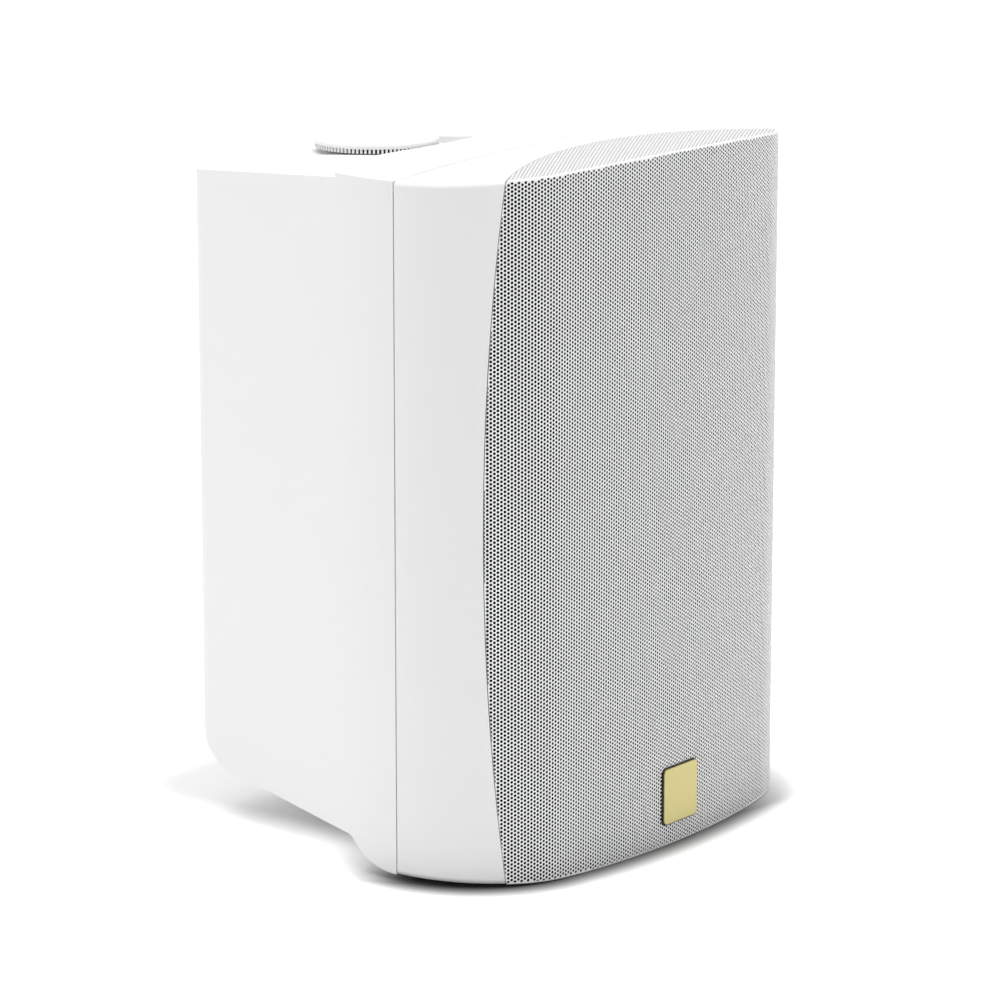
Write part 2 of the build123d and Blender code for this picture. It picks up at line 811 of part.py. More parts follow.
# Screws round the woofer
with BuildPart() as woofer_screws:
    add(
        screws(
            woofer_seats,
            flange_front_y,
            1,
            screw_radius,
            driver_screw_length,
            screw_head_radius,
            screw_head_height,
        )
    )
finish(woofer_screws, "woofer_screws")

# Magnet system: front plate, ring magnet, rear plate with its pole
with BuildPart() as woofer_front_plate:
    revolve(
        ring_outline(woofer_height, gap_radius, front_plate_radius, basket_rear_y, magnet_front_y),
        axis=woofer_axis,
    )
finish(woofer_front_plate, "woofer_front_plate")

with BuildPart() as woofer_magnet:
    revolve(
        ring_outline(woofer_height, magnet_bore_radius, magnet_radius, magnet_front_y, magnet_rear_y),
        axis=woofer_axis,
    )
finish(woofer_magnet, "woofer_magnet")

with BuildPart() as woofer_yoke:
    revolve(
        driver_outline(
            woofer_height,
            (pole_vent_radius, basket_rear_y),
            (pole_radius, basket_rear_y),
            (pole_radius, magnet_rear_y),
            (rear_plate_radius, magnet_rear_y),
            (rear_plate_radius, yoke_rear_y),
            (pole_vent_radius, yoke_rear_y),
        ),
        axis=woofer_axis,
    )
finish(woofer_yoke, "woofer_yoke")

# Voice coil: thin former with the winding round its back end
coil_rear_y = cone_rear_y + coil_reach + winding_length / 2
with BuildPart() as woofer_voice_coil:
    revolve(
        driver_outline(
            woofer_height,
            (coil_radius, cone_rear_y - overlap),
            (former_radius, cone_rear_y - overlap),
            (former_radius, coil_rear_y - winding_length),
            (former_radius + winding_thickness, coil_rear_y - winding_length),
            (former_radius + winding_thickness, coil_rear_y),
            (coil_radius, coil_rear_y),
        ),
        axis=woofer_axis,
    )
finish(woofer_voice_coil, "woofer_voice_coil")

# Cone: a thin tapered wall from the coil's neck to the rim inside the surround
cone_rim = cone_radius - roll_thickness / 2 - bond_gap
cone_neck_y = cone_rear_y - cone_thickness
cone_slope = (cone_front_y - cone_neck_y) / (cone_rim - neck_radius_front)
with BuildPart() as woofer_cone:
    revolve(
        driver_outline(
            woofer_height,
            (neck_radius_front, cone_neck_y),
            (cone_rim, cone_front_y),
            (cone_rim, cone_front_y + cone_thickness),
            (neck_radius_front, cone_rear_y),
        ),
        axis=woofer_axis,
    )
finish(woofer_cone, "woofer_cone")

# Dust cap: a shallow dome whose rim lies on the cone
cap_rim_y = cone_neck_y + cone_slope * (dust_cap_radius - neck_radius_front) - bond_gap
with BuildPart() as dust_cap:
    revolve(
        dome_outline(woofer_height, dust_cap_radius, dust_cap_rise, dust_cap_thickness, cap_rim_y),
        axis=woofer_axis,
    )
finish(dust_cap, "dust_cap")

# Rubber surround: outer lip on the basket's flange, half roll, skirt round the cone's rim
roll_centre = cone_radius + roll_radius
roll_base_y = flange_front_y - roll_thickness / 2
roll_outer = roll_radius + roll_thickness / 2
roll_inner = roll_radius - roll_thickness / 2
with BuildPart() as woofer_surround:
    with BuildSketch(Plane.XY.offset(woofer_height)):
        with BuildLine():
            ThreePointArc(
                (roll_centre - roll_outer, roll_base_y),
                (roll_centre, roll_base_y - roll_outer),
                (roll_centre + roll_outer, roll_base_y),
            )
            Polyline(
                (roll_centre + roll_outer, roll_base_y),
                (roll_centre + roll_outer, flange_front_y - roll_thickness),
                (surround_outer, flange_front_y - roll_thickness),
                (surround_outer, flange_front_y),
                (roll_centre + roll_inner, flange_front_y),
                (roll_centre + roll_inner, roll_base_y),
            )
            ThreePointArc(
                (roll_centre + roll_inner, roll_base_y),
                (roll_centre, roll_base_y - roll_inner),
                (roll_centre - roll_inner, roll_base_y),
            )
            Polyline(
                (roll_centre - roll_inner, roll_base_y),
                (roll_centre - roll_inner, cone_front_y + cone_thickness),
                (roll_centre - roll_outer, cone_front_y + cone_thickness),
                (roll_centre - roll_outer, roll_base_y),
            )
        make_face()
    revolve(axis=woofer_axis)
finish(woofer_surround, "woofer_surround")

# Spider: folded disc from the former to the basket's ledge
fold_start = former_radius + 2 * spider_wave
fold_pitch = (ledge_radius - seat_gap - fold_start) / spider_folds
fold_radii = [fold_start + fold_pitch * step for step in range(spider_folds + 1)]
fold_front = [ledge_y - spider_thickness - spider_wave * (step % 2) for step in range(spider_folds + 1)]
spider_front = [(former_radius + bond_gap, ledge_y - spider_thickness)] + list(zip(fold_radii, fold_front))
spider_front.append((ledge_wall - seat_gap, ledge_y - spider_thickness))
spider_rear = [(radius, y + spider_thickness) for radius, y in reversed(spider_front)]
with BuildPart() as woofer_spider:
    revolve(driver_outline(woofer_height, *spider_front, *spider_rear), axis=woofer_axis)
finish(woofer_spider, "woofer_spider")

# Tweeter stations along its axis
plate_front_y = baffle_y - tweeter_plate_thickness
spigot_rear_y = baffle_y + tweeter_spigot_depth
dome_seat_y = spigot_rear_y - dome_thickness
top_plate_rear_y = spigot_rear_y + tweeter_top_plate_thickness
tweeter_magnet_rear_y = top_plate_rear_y + tweeter_magnet_thickness
tweeter_rear_y = tweeter_magnet_rear_y + tweeter_yoke_thickness
tweeter_axis = driver_axis(tweeter_height)
dome_roll_outer = dome_radius + dome_roll_width
coil_inner = dome_radius - tweeter_coil_wall
horn_throat_radius = dome_roll_outer + seat_gap

# Faceplate with a flared mouth and a spigot through the baffle
with BuildPart() as tweeter_faceplate:
    with BuildSketch(Plane.XY.offset(tweeter_height)):
        with BuildLine():
            RadiusArc(
                (horn_throat_radius, dome_seat_y),
                (horn_mouth_radius, plate_front_y),
                -horn_flare_radius,
            )
            Polyline(
                (horn_mouth_radius, plate_front_y),
                (tweeter_radius, plate_front_y),
                (tweeter_radius, baffle_y),
                (tweeter_spigot_radius, baffle_y),
                (tweeter_spigot_radius, spigot_rear_y),
                (dome_seat_radius + seat_gap, spigot_rear_y),
                (dome_seat_radius + seat_gap, dome_seat_y),
                (horn_throat_radius, dome_seat_y),
            )
        make_face()
    revolve(axis=tweeter_axis)
    with BuildSketch(Plane.XZ.offset(-plate_front_y)):
        with Locations(*tweeter_seats):
            Circle(screw_radius + screw_hole_gap)
    extrude(amount=-tweeter_plate_thickness, mode=Mode.SUBTRACT)
finish(tweeter_faceplate, "tweeter_faceplate")

# Dome on its coil, and the narrow roll that carries it
with BuildPart() as tweeter_dome:
    revolve(
        dome_outline(tweeter_height, dome_radius, dome_rise, dome_thickness, dome_seat_y), axis=tweeter_axis
    )
    revolve(
        ring_outline(tweeter_height, coil_inner, dome_radius, dome_seat_y, spigot_rear_y), axis=tweeter_axis
    )
finish(tweeter_dome, "tweeter_dome")

with BuildPart() as tweeter_surround:
    roll_mid = (dome_radius + dome_roll_outer) / 2
    roll_rise = dome_roll_width / 2
    with BuildSketch(Plane.XY.offset(tweeter_height)):
        with BuildLine():
            ThreePointArc(
                (dome_radius + bond_gap, dome_seat_y),
                (roll_mid, dome_seat_y - roll_rise),
                (dome_roll_outer, dome_seat_y),
            )
            Polyline(
                (dome_roll_outer, dome_seat_y),
                (dome_seat_radius, dome_seat_y),
                (dome_seat_radius, spigot_rear_y),
                (dome_roll_outer - dome_thickness, spigot_rear_y),
            )
            ThreePointArc(
                (dome_roll_outer - dome_thickness, spigot_rear_y),
                (roll_mid, dome_seat_y - roll_rise + dome_thickness),
                (dome_radius + bond_gap + dome_thickness, spigot_rear_y),
            )
            Polyline(
                (dome_radius + bond_gap + dome_thickness, spigot_rear_y),
                (dome_radius + bond_gap, spigot_rear_y),
                (dome_radius + bond_gap, dome_seat_y),
            )
        make_face()
    revolve(axis=tweeter_axis)
finish(tweeter_surround, "tweeter_surround")

with BuildPart() as tweeter_coil:
    coil_end_y = spigot_rear_y + tweeter_coil_length
    revolve(
        ring_outline(tweeter_height, coil_inner, dome_radius, spigot_rear_y, coil_end_y), axis=tweeter_axis
    )
finish(tweeter_coil, "tweeter_coil")

# Tweeter's magnet system
with BuildPart() as tweeter_top_plate:
    plate_bore = dome_radius + tweeter_gap
    revolve(
        ring_outline(
            tweeter_height, plate_bore, tweeter_top_plate_radius, spigot_rear_y, top_plate_rear_y
        ),
        axis=tweeter_axis,
    )
finish(tweeter_top_plate, "tweeter_top_plate")

with BuildPart() as tweeter_magnet:
    revolve(
        ring_outline(
            tweeter_height,
            tweeter_magnet_bore,
            tweeter_magnet_radius,
            top_plate_rear_y,
            tweeter_magnet_rear_y,
        ),
        axis=tweeter_axis,
    )
finish(tweeter_magnet, "tweeter_magnet")

with BuildPart() as tweeter_yoke:
    tweeter_pole = coil_inner - tweeter_gap
    revolve(
        driver_outline(
            tweeter_height,
            (0, spigot_rear_y),
            (tweeter_pole, spigot_rear_y),
            (tweeter_pole, tweeter_magnet_rear_y),
            (tweeter_yoke_radius, tweeter_magnet_rear_y),
            (tweeter_yoke_radius, tweeter_rear_y),
            (0, tweeter_rear_y),
        ),
        axis=tweeter_axis,
    )
finish(tweeter_yoke, "tweeter_yoke")

# Screws round the tweeter
with BuildPart() as tweeter_screws:
    add(
        screws(
            tweeter_seats,
            plate_front_y,
            1,
            screw_radius,
            driver_screw_length,
            screw_head_radius,
            screw_head_height,
        )
    )
finish(tweeter_screws, "tweeter_screws")

# Terminal cup in the back: flange on the wall, deep tray, floor with two post holes
cup_flange_y = depth / 2
cup_base_y = rear_wall_y - cup_depth
cup_floor_y = cup_base_y + cup_floor
cup_head_y = cup_flange_y - cup_screw_head_height
binding_x = binding_spacing / 2
binding_seats = [(-binding_x, cup_height), (binding_x, cup_height)]
with BuildPart() as terminal_cup:
    with BuildSketch(Plane.XZ.offset(-rear_wall_y)):
        with Locations((0, cup_height)):
            RectangleRounded(cup_flange_width, cup_flange_height, cup_flange_corner)
    extrude(amount=-cup_flange_thickness)
    with BuildSketch(Plane.XZ.offset(-rear_wall_y)):
        with Locations((0, cup_height)):
            RectangleRounded(cup_width, cup_tall, cup_corner)
    extrude(amount=cup_depth)
    with BuildSketch(Plane.XZ.offset(-cup_flange_y)):
        with Locations((0, cup_height)):
            RectangleRounded(cup_width - 2 * cup_wall, cup_tall - 2 * cup_wall, cup_corner - cup_wall)
    extrude(amount=cup_flange_y - cup_floor_y, mode=Mode.SUBTRACT)
    with BuildSketch(Plane.XZ.offset(-cup_floor_y)):
        with Locations(*binding_seats):
            Circle(binding_radius + seat_gap)
    extrude(amount=cup_floor, mode=Mode.SUBTRACT)
    with BuildSketch(Plane.XZ.offset(-cup_flange_y)):
        with Locations(*cup_seats):
            Circle(cup_screw_head_radius + seat_gap)
    extrude(amount=cup_screw_head_height, mode=Mode.SUBTRACT)
    with BuildSketch(Plane.XZ.offset(-cup_flange_y)):
        with Locations(*cup_seats):
            Circle(cup_screw_radius + screw_hole_gap)
    extrude(amount=cup_flange_thickness, mode=Mode.SUBTRACT)
finish(terminal_cup, "terminal_cup")

with BuildPart() as terminal_screws:
    add(
        screws(
            cup_seats,
            cup_head_y,
            -1,
            cup_screw_radius,
            cup_screw_length,
            cup_screw_head_radius,
            cup_screw_head_height,
        )
    )
finish(terminal_screws, "terminal_screws")

# Binding posts: insulating collar, metal post with a socket and a wire hole, clamp ring, fluted cap
collar_y = cup_floor_y + collar_thickness
ring_y = collar_y + bond_gap
ring_rear_y = ring_y + clamp_ring_thickness
cap_y = ring_rear_y + bond_gap
cap_rear_y = cap_y + cap_length
post_end_y = rear_wall_y + overlap / 2


# Metal post at x with its socket open to the rear and a hole across it for bare wire
def binding_post(x):
    with BuildPart() as post:
        add(tube(x, cup_height, binding_radius, 0, cup_base_y - binding_tail, post_end_y))
        add(
            tube(x, cup_height, socket_radius, 0, post_end_y - socket_depth, post_end_y), mode=Mode.SUBTRACT
        )
        with BuildSketch(Plane.XY.offset(cup_height)):
            with Locations((x, ring_rear_y + wire_hole_radius)):
                Circle(wire_hole_radius)
        extrude(amount=binding_radius + overlap, both=True, mode=Mode.SUBTRACT)
    return post.part


# Fluted cap at x that screws along the post
def binding_cap(x):
    with BuildPart() as cap:
        with BuildSketch(Plane.XZ.offset(-cap_y)):
            with Locations((x, cup_height)):
                Polygon(*serrated(cap_radius, cap_radius - cap_flute_depth, cap_flutes))
                Circle(binding_radius + bond_gap, mode=Mode.SUBTRACT)
        extrude(amount=-cap_length)
    return cap.part


with BuildPart() as red_post:
    add(binding_post(binding_x))
finish(red_post, "red_post")

with BuildPart() as black_post:
    add(binding_post(-binding_x))
finish(black_post, "black_post")

collar_bore = binding_radius + bond_gap
with BuildPart() as red_collar:
    add(tube(binding_x, cup_height, collar_radius, collar_bore, cup_floor_y, collar_y))
finish(red_collar, "red_collar")

with BuildPart() as black_collar:
    add(tube(-binding_x, cup_height, collar_radius, collar_bore, cup_floor_y, collar_y))
finish(black_collar, "black_collar")

with BuildPart() as red_clamp_ring:
    add(tube(binding_x, cup_height, clamp_ring_radius, collar_bore, ring_y, ring_rear_y))
finish(red_clamp_ring, "red_clamp_ring")

with BuildPart() as black_clamp_ring:
    add(tube(-binding_x, cup_height, clamp_ring_radius, collar_bore, ring_y, ring_rear_y))
finish(black_clamp_ring, "black_clamp_ring")

with BuildPart() as red_cap:
    add(binding_cap(binding_x))
finish(red_cap, "red_cap")

with BuildPart() as black_cap:
    add(binding_cap(-binding_x))
finish(black_cap, "black_cap")

with BuildPart() as post_nuts:
    with BuildSketch(Plane.XZ.offset(-cup_base_y)):
        with Locations(*binding_seats):
            RegularPolygon(nut_across / 2, 6, major_radius=False)
            Circle(binding_radius + bond_gap, mode=Mode.SUBTRACT)
    extrude(amount=nut_thickness)
finish(post_nuts, "post_nuts")

# Crossover: board on the cabinet's standoffs, with its coils, capacitors and resistor facing forward
board_front_y = board_face_y - board_thickness
with BuildPart() as crossover_board:
    with BuildSketch(Plane.XZ.offset(-board_face_y)):
        with Locations((0, board_height)):
            RectangleRounded(board_width, board_tall, board_corner)
        with Locations(*board_seats):
            Circle(board_screw_radius + screw_hole_gap, mode=Mode.SUBTRACT)
    extrude(amount=board_thickness)
finish(crossover_board, "crossover_board")

with BuildPart() as crossover_screws:
    add(
        screws(
            board_seats,
            board_front_y,
            1,
            board_screw_radius,
            board_screw_length,
            board_screw_head_radius,
            board_screw_head_height,
        )
    )
finish(crossover_screws, "crossover_screws")

spool_z = board_height - coil_spool_drop
with BuildPart() as inductors:
    with BuildSketch(Plane.XZ.offset(-board_front_y)):
        with Locations((-coil_spool_spacing / 2, spool_z), (coil_spool_spacing / 2, spool_z)):
            Circle(coil_spool_radius)
            Circle(coil_spool_bore, mode=Mode.SUBTRACT)
    extrude(amount=coil_spool_height)
finish(inductors, "inductors")

with BuildPart() as capacitors:
    can_y = board_front_y - capacitor_radius - bond_gap
    can_z = board_height + capacitor_lift
    for x in (-capacitor_spacing / 2, capacitor_spacing / 2):
        with BuildSketch(Plane.YZ.offset(x)):
            with Locations((can_y, can_z)):
                Circle(capacitor_radius)
        extrude(amount=capacitor_length / 2, both=True)
finish(capacitors, "capacitors")

with BuildPart() as resistor:
    with BuildSketch(Plane.XZ.offset(-board_front_y)):
        with Locations((0, spool_z)):
            Rectangle(resistor_size, resistor_length)
    extrude(amount=resistor_size)
finish(resistor, "resistor")

# Damping wadding against the back wall, over the terminal cup
with BuildPart() as wadding:
    with BuildSketch(Plane.XZ.offset(-rear_wall_y + cabinet_wall + bond_gap)):
        with Locations((0, (wadding_low + wadding_high) / 2)):
            RectangleRounded(wadding_width, wadding_high - wadding_low, wadding_corner)
    extrude(amount=wadding_thickness)
finish(wadding, "wadding")

# Threaded inserts moulded into the knob seats
insert_bore = stud_radius + bond_gap
with BuildPart() as top_insert:
    add(pillar(insert_radius, insert_bore, top_insert_z, top_seat_height))
finish(top_insert, "top_insert")

with BuildPart() as bottom_insert:
    add(pillar(insert_radius, insert_bore, base_seat_height, base_insert_z))
finish(bottom_insert, "bottom_insert")

# Top knob: neck on the seat, serrated ring, smooth crowned rim, blind hole for its stud
neck_z = top_seat_height + bond_gap
teeth_z = top_seat_height + strap_gap
rim_z = teeth_z + tooth_height
crown_z = rim_z + knob_rim
stud_hole_radius = stud_radius + bond_gap
top_stud_z = top_seat_height + stud_grip
knob_axis = Axis((0, knob_y, 0), (0, 0, 1))
with BuildPart() as top_knob:
    add(pillar(neck_radius, 0, neck_z, teeth_z))
    add(toothed_disc(teeth_z, rim_z))
    with BuildSketch(Plane.XZ.offset(-knob_y)):
        with BuildLine():
            Polyline((0, crown_z + knob_crown), (0, rim_z), (knob_radius, rim_z), (knob_radius, crown_z))
            RadiusArc(
                (knob_radius, crown_z),
                (0, crown_z + knob_crown),
                -(knob_radius**2 + knob_crown**2) / (2 * knob_crown),
            )
        make_face()
    revolve(axis=knob_axis)
    add(pillar(stud_hole_radius, 0, neck_z, top_stud_z), mode=Mode.SUBTRACT)
finish(top_knob, "top_knob")

with BuildPart() as top_stud:
    add(pillar(stud_radius, 0, top_stud_z - stud_length, top_stud_z))
finish(top_stud, "top_stud")

# Captive washers under the knobs, which press a bracket's strap on the seat
washer_bore = neck_radius + bond_gap
with BuildPart() as top_washer:
    add(pillar(washer_radius, washer_bore, teeth_z - bond_gap - washer_thickness, teeth_z - bond_gap))
finish(top_washer, "top_washer")

# Bottom knob: a tall puck down to the floor, which carries the back of the case
puck_z = base_seat_height - strap_gap
bottom_stud_z = base_seat_height - stud_grip
with BuildPart() as bottom_knob:
    add(pillar(neck_radius, 0, puck_z, base_seat_height - bond_gap))
    add(toothed_disc(foot_height, puck_z))
    add(pillar(foot_radius, 0, 0, foot_height))
    add(pillar(stud_hole_radius, 0, bottom_stud_z, base_seat_height), mode=Mode.SUBTRACT)
finish(bottom_knob, "bottom_knob")

with BuildPart() as bottom_stud:
    add(pillar(stud_radius, 0, bottom_stud_z, bottom_stud_z + stud_length))
finish(bottom_stud, "bottom_stud")

with BuildPart() as bottom_washer:
    add(pillar(washer_radius, washer_bore, puck_z + bond_gap, puck_z + bond_gap + washer_thickness))
finish(bottom_washer, "bottom_washer")
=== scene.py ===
"""Outdoor patio speaker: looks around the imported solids, with a true perforated grille."""

import json
import logging
import math
from dataclasses import dataclass, field
from enum import Enum
from typing import Any, Callable, Mapping, Optional, Sequence, Union

import bpy
import numpy as np
from mathutils import Matrix, Vector

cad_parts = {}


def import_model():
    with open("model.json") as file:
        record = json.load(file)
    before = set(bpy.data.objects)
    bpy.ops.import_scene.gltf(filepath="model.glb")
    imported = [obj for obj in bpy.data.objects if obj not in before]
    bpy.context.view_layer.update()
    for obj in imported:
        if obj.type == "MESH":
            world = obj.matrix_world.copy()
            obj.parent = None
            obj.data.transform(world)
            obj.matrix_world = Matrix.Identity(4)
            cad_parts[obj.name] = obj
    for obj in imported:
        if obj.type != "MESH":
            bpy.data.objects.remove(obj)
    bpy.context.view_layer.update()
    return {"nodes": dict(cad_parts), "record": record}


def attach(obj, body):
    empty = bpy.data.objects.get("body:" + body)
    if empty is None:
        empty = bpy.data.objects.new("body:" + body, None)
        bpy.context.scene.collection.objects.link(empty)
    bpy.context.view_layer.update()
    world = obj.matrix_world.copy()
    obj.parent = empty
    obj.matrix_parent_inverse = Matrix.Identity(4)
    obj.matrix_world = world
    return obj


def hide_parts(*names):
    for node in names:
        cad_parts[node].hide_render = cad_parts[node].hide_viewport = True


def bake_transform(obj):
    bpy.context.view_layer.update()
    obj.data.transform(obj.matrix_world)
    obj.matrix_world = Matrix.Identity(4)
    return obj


LOG = logging.getLogger("patio_speaker")
Array = np.ndarray
Mesh = tuple[np.ndarray, np.ndarray]
Triple = tuple[float, float, float]
Limits = tuple[float, float]
MM = 0.001
FULL_TURN = 2.0 * math.pi
QUARTER_TURN = math.pi / 2
EVEN = (1.0, 1.0, 1.0)
# Broad shading and bump that all finishes share
BROAD_SCALE = 14.0
BROAD_DETAIL = 2.0
ROUGH_SWING = 0.12
COAT_ROUGHNESS = 0.2
BUMP_DISTANCE = 0.2 * MM
# Size and share of the coarse noise in a fibre
FIBRE_COARSE = 0.25
FIBRE_SHARE = 0.6


def grey(level: float) -> Triple:
    """Neutral colour of one level."""
    return (level, level, level)


class Wire:
    """A node's output socket that takes part in sums and products."""

    def __init__(self, graph: "Graph", socket: Optional[bpy.types.NodeSocket]) -> None:
        """Keep the socket and the graph that new Math nodes go into."""
        self.graph = graph
        self.socket = socket

    def _math(self, operation: str, first: Any, second: Any) -> "Wire":
        """Add one Math node.

        Args:
            operation: the node's operation.
            first: left value or wire.
            second: right value or wire.

        Returns:
            The result's wire.
        """
        return self.graph.node("ShaderNodeMath", {"operation": operation}, {0: first, 1: second})

    def __add__(self, other: Any) -> "Wire":
        """Sum."""
        return self._math("ADD", self, other)

    def __radd__(self, other: Any) -> "Wire":
        """Sum with a number on the left."""
        return self._math("ADD", other, self)

    def __sub__(self, other: Any) -> "Wire":
        """Difference."""
        return self._math("SUBTRACT", self, other)

    def __rsub__(self, other: Any) -> "Wire":
        """Difference from a number on the left."""
        return self._math("SUBTRACT", other, self)

    def __mul__(self, other: Any) -> "Wire":
        """Product."""
        return self._math("MULTIPLY", self, other)

    def __rmul__(self, other: Any) -> "Wire":
        """Product with a number on the left."""
        return self._math("MULTIPLY", other, self)

    def __truediv__(self, other: Any) -> "Wire":
        """Quotient."""
        return self._math("DIVIDE", self, other)

    def most(self, other: Any) -> "Wire":
        """Greater of two values."""
        return self._math("MAXIMUM", self, other)


class Graph:
    """One node tree, written as expressions."""

    def __init__(self, tree: bpy.types.NodeTree) -> None:
        """Start with an empty tree."""
        self.tree = tree
        self.tree.nodes.clear()

    def put(self, socket: bpy.types.NodeSocket, value: Any) -> None:
        """Link a wire to an input socket, or set the socket's own value.

        Args:
            socket: the input.
            value: a wire or a constant; a colour gets its alpha here.
        """
        if isinstance(value, Wire):
            self.tree.links.new(value.socket, socket)
        elif socket.type == "RGBA":
            socket.default_value = (*value, 1.0)
        else:
            socket.default_value = value

    def node(
        self,
        kind: str,
        settings: Optional[Mapping[str, Any]] = None,
        inputs: Optional[Mapping[Union[str, int], Any]] = None,
        output: Union[str, int] = 0,
    ) -> Wire:
        """Add any node.

        Args:
            kind: the node's type name.
            settings: attributes that are set first.
            inputs: values or wires by socket name or number.
            output: the socket that is handed back.

        Returns:
            The chosen output's wire, which is empty for a node without outputs.
        """
        made = self.tree.nodes.new(kind)
        for name, value in (settings or {}).items():
            setattr(made, name, value)
        for name, value in (inputs or {}).items():
            self.put(made.inputs[name], value)
        return Wire(self, made.outputs[output] if made.outputs else None)

    def seen(self) -> Wire:
        """Tell the rays that show a surface directly, in a reflection or through glass.

        Returns:
            1 for such a ray, or else 0.
        """
        names = ("Is Camera Ray", "Is Glossy Ray", "Is Transmission Ray")
        direct, mirrored, passed = (self.node("ShaderNodeLightPath", output=name) for name in names)
        return direct.most(mirrored).most(passed)

    def place(self, stretch: Triple = EVEN) -> Wire:
        """Object coordinates in metres, stretched along each axis."""
        where = self.node("ShaderNodeTexCoord", output="Object")
        return self.node("ShaderNodeMapping", {}, {"Vector": where, "Scale": stretch})

    def noise(self, where: Wire, scale: float, detail: float) -> Wire:
        """Smooth noise from 0 to 1."""
        inputs = {"Vector": where, "Scale": scale, "Detail": detail}
        return self.node("ShaderNodeTexNoise", {}, inputs, "Fac")

    def wave(self, where: Wire, axis: str, scale: float, wobble: float) -> Wire:
        """Bands from 0 to 1 along an axis."""
        inputs = {"Vector": where, "Scale": scale, "Distortion": wobble}
        return self.node("ShaderNodeTexWave", {"bands_direction": axis}, inputs, "Fac")

    def tint(self, amount: Wire, low: Triple, high: Triple) -> Wire:
        """Colour between two shades by an amount from 0 to 1."""
        return self.node("ShaderNodeMix", {"data_type": "RGBA"}, {0: amount, 6: low, 7: high}, 2)

    def bump(self, height: Wire, strength: float) -> Wire:
        """Normal that a height field tilts."""
        inputs = {"Height": height, "Strength": strength, "Distance": BUMP_DISTANCE}
        return self.node("ShaderNodeBump", {}, inputs)

    def step(self, value: Wire, limits: Limits) -> Wire:
        """Smooth step from 0 at the first limit to 1 at the second."""
        inputs = {"Value": value, "From Min": limits[0], "From Max": limits[1]}
        return self.node("ShaderNodeMapRange", {"interpolation_type": "SMOOTHSTEP"}, inputs)

    def outside(self, where: Wire, middle: Triple, half: Triple) -> Wire:
        """Distance from a box.

        Args:
            where: places.
            middle: the box's centre.
            half: its half sizes.

        Returns:
            Length of the part of the offset from the centre that is beyond the half sizes.
        """
        kind = "ShaderNodeVectorMath"
        offset = self.node(kind, {"operation": "SUBTRACT"}, {0: where, 1: middle})
        folded = self.node(kind, {"operation": "ABSOLUTE"}, {0: offset})
        past = self.node(kind, {"operation": "SUBTRACT"}, {0: folded, 1: half})
        beyond = self.node(kind, {"operation": "MAXIMUM"}, {0: past, 1: (0.0, 0.0, 0.0)})
        return self.node(kind, {"operation": "LENGTH"}, {0: beyond}, "Value")


class Surface(Graph):
    """One material's nodes, around its Principled shader."""

    def __init__(self, name: str) -> None:
        """Start a material with its shader and its output.

        Args:
            name: the material's name.
        """
        self.material = bpy.data.materials.new(name)
        self.material.use_nodes = True
        super().__init__(self.material.node_tree)
        self.shader = self.node("ShaderNodeBsdfPrincipled")
        self.node("ShaderNodeOutputMaterial", {}, {"Surface": self.shader})

    def fill(self, **sockets: Any) -> bpy.types.Material:
        """Fill the Principled shader.

        Args:
            sockets: socket names with underscores for blanks, and values or wires.

        Returns:
            The finished material.
        """
        for name, value in sockets.items():
            self.put(self.shader.socket.node.inputs[name.replace("_", " ")], value)
        return self.material


class Texture(Enum):
    """How a finish varies over the surface."""

    GRAIN = ("grain", EVEN, 2.0)
    POWDER = ("powder", EVEN, 2.0)
    WEAVE = ("weave", EVEN, 0.4)
    BRUSHED = ("brushed", (0.03, 1.0, 1.0), 4.0)
    TURNED = ("turned", (0.05, 0.05, 1.0), 3.0)
    WINDING = ("winding", EVEN, 0.2)
    FIBRE = ("fibre", EVEN, 5.0)

    def __init__(self, label: str, stretch: Triple, grade: float) -> None:
        """Keep the values.

        Args:
            label: the texture's name, which keeps the values apart.
            stretch: scale of the coordinates along each axis.
            grade: a noise's detail, or a wave's distortion.
        """
        self.stretch = stretch
        self.grade = grade


@dataclass(frozen=True)
class Finish:
    """One surface finish: colour, gloss and the texture on it."""

    name: str
    colour: Triple
    roughness: float
    texture: Texture
    scale: float
    relief: float = 0.08
    spread: float = 0.06
    metallic: float = 0.0
    coat: float = 0.0
    sheen: float = 0.0

    def shades(self) -> tuple[Triple, Triple]:
        """Darker and lighter shade about the colour."""
        scales = (1.0 - self.spread, 1.0 + self.spread)
        return tuple(tuple(min(1.0, channel * scale) for channel in self.colour) for scale in scales)

    def heights(self, graph: Graph) -> Wire:
        """Height field of the texture.

        Grain and powder are noise; a weave is the product of two crossed waves; brushed and turned
        metal is noise drawn out along one or two axes; a winding is a wave along Y; fibre is coarse
        noise on top of fine noise.

        Args:
            graph: the material that gets the nodes.

        Returns:
            A wire from 0 to 1.
        """
        where = graph.place(self.texture.stretch)
        grade = self.texture.grade
        if self.texture is Texture.WEAVE:
            warp = graph.wave(where, "X", self.scale, grade)
            return warp * graph.wave(where, "Z", self.scale, grade)
        if self.texture is Texture.WINDING:
            return graph.wave(where, "Y", self.scale, grade)
        fine = graph.noise(where, self.scale, grade)
        if self.texture is Texture.FIBRE:
            coarse = graph.noise(where, self.scale * FIBRE_COARSE, grade)
            return FIBRE_SHARE * coarse + (1.0 - FIBRE_SHARE) * fine
        return fine

    def build(self) -> bpy.types.Material:
        """Make the material.

        Returns:
            The material, named as the finish.
        """
        graph = Surface(self.name)
        height = self.heights(graph)
        broad = graph.noise(graph.place(), BROAD_SCALE, BROAD_DETAIL)
        low, high = self.shades()
        return graph.fill(
            Base_Color=graph.tint(0.5 * height + 0.5 * broad, low, high),
            Roughness=self.roughness + ROUGH_SWING * (height - 0.5),
            Metallic=self.metallic,
            Coat_Weight=self.coat,
            Coat_Roughness=COAT_ROUGHNESS,
            Sheen_Weight=self.sheen,
            Normal=graph.bump(height, self.relief),
        )


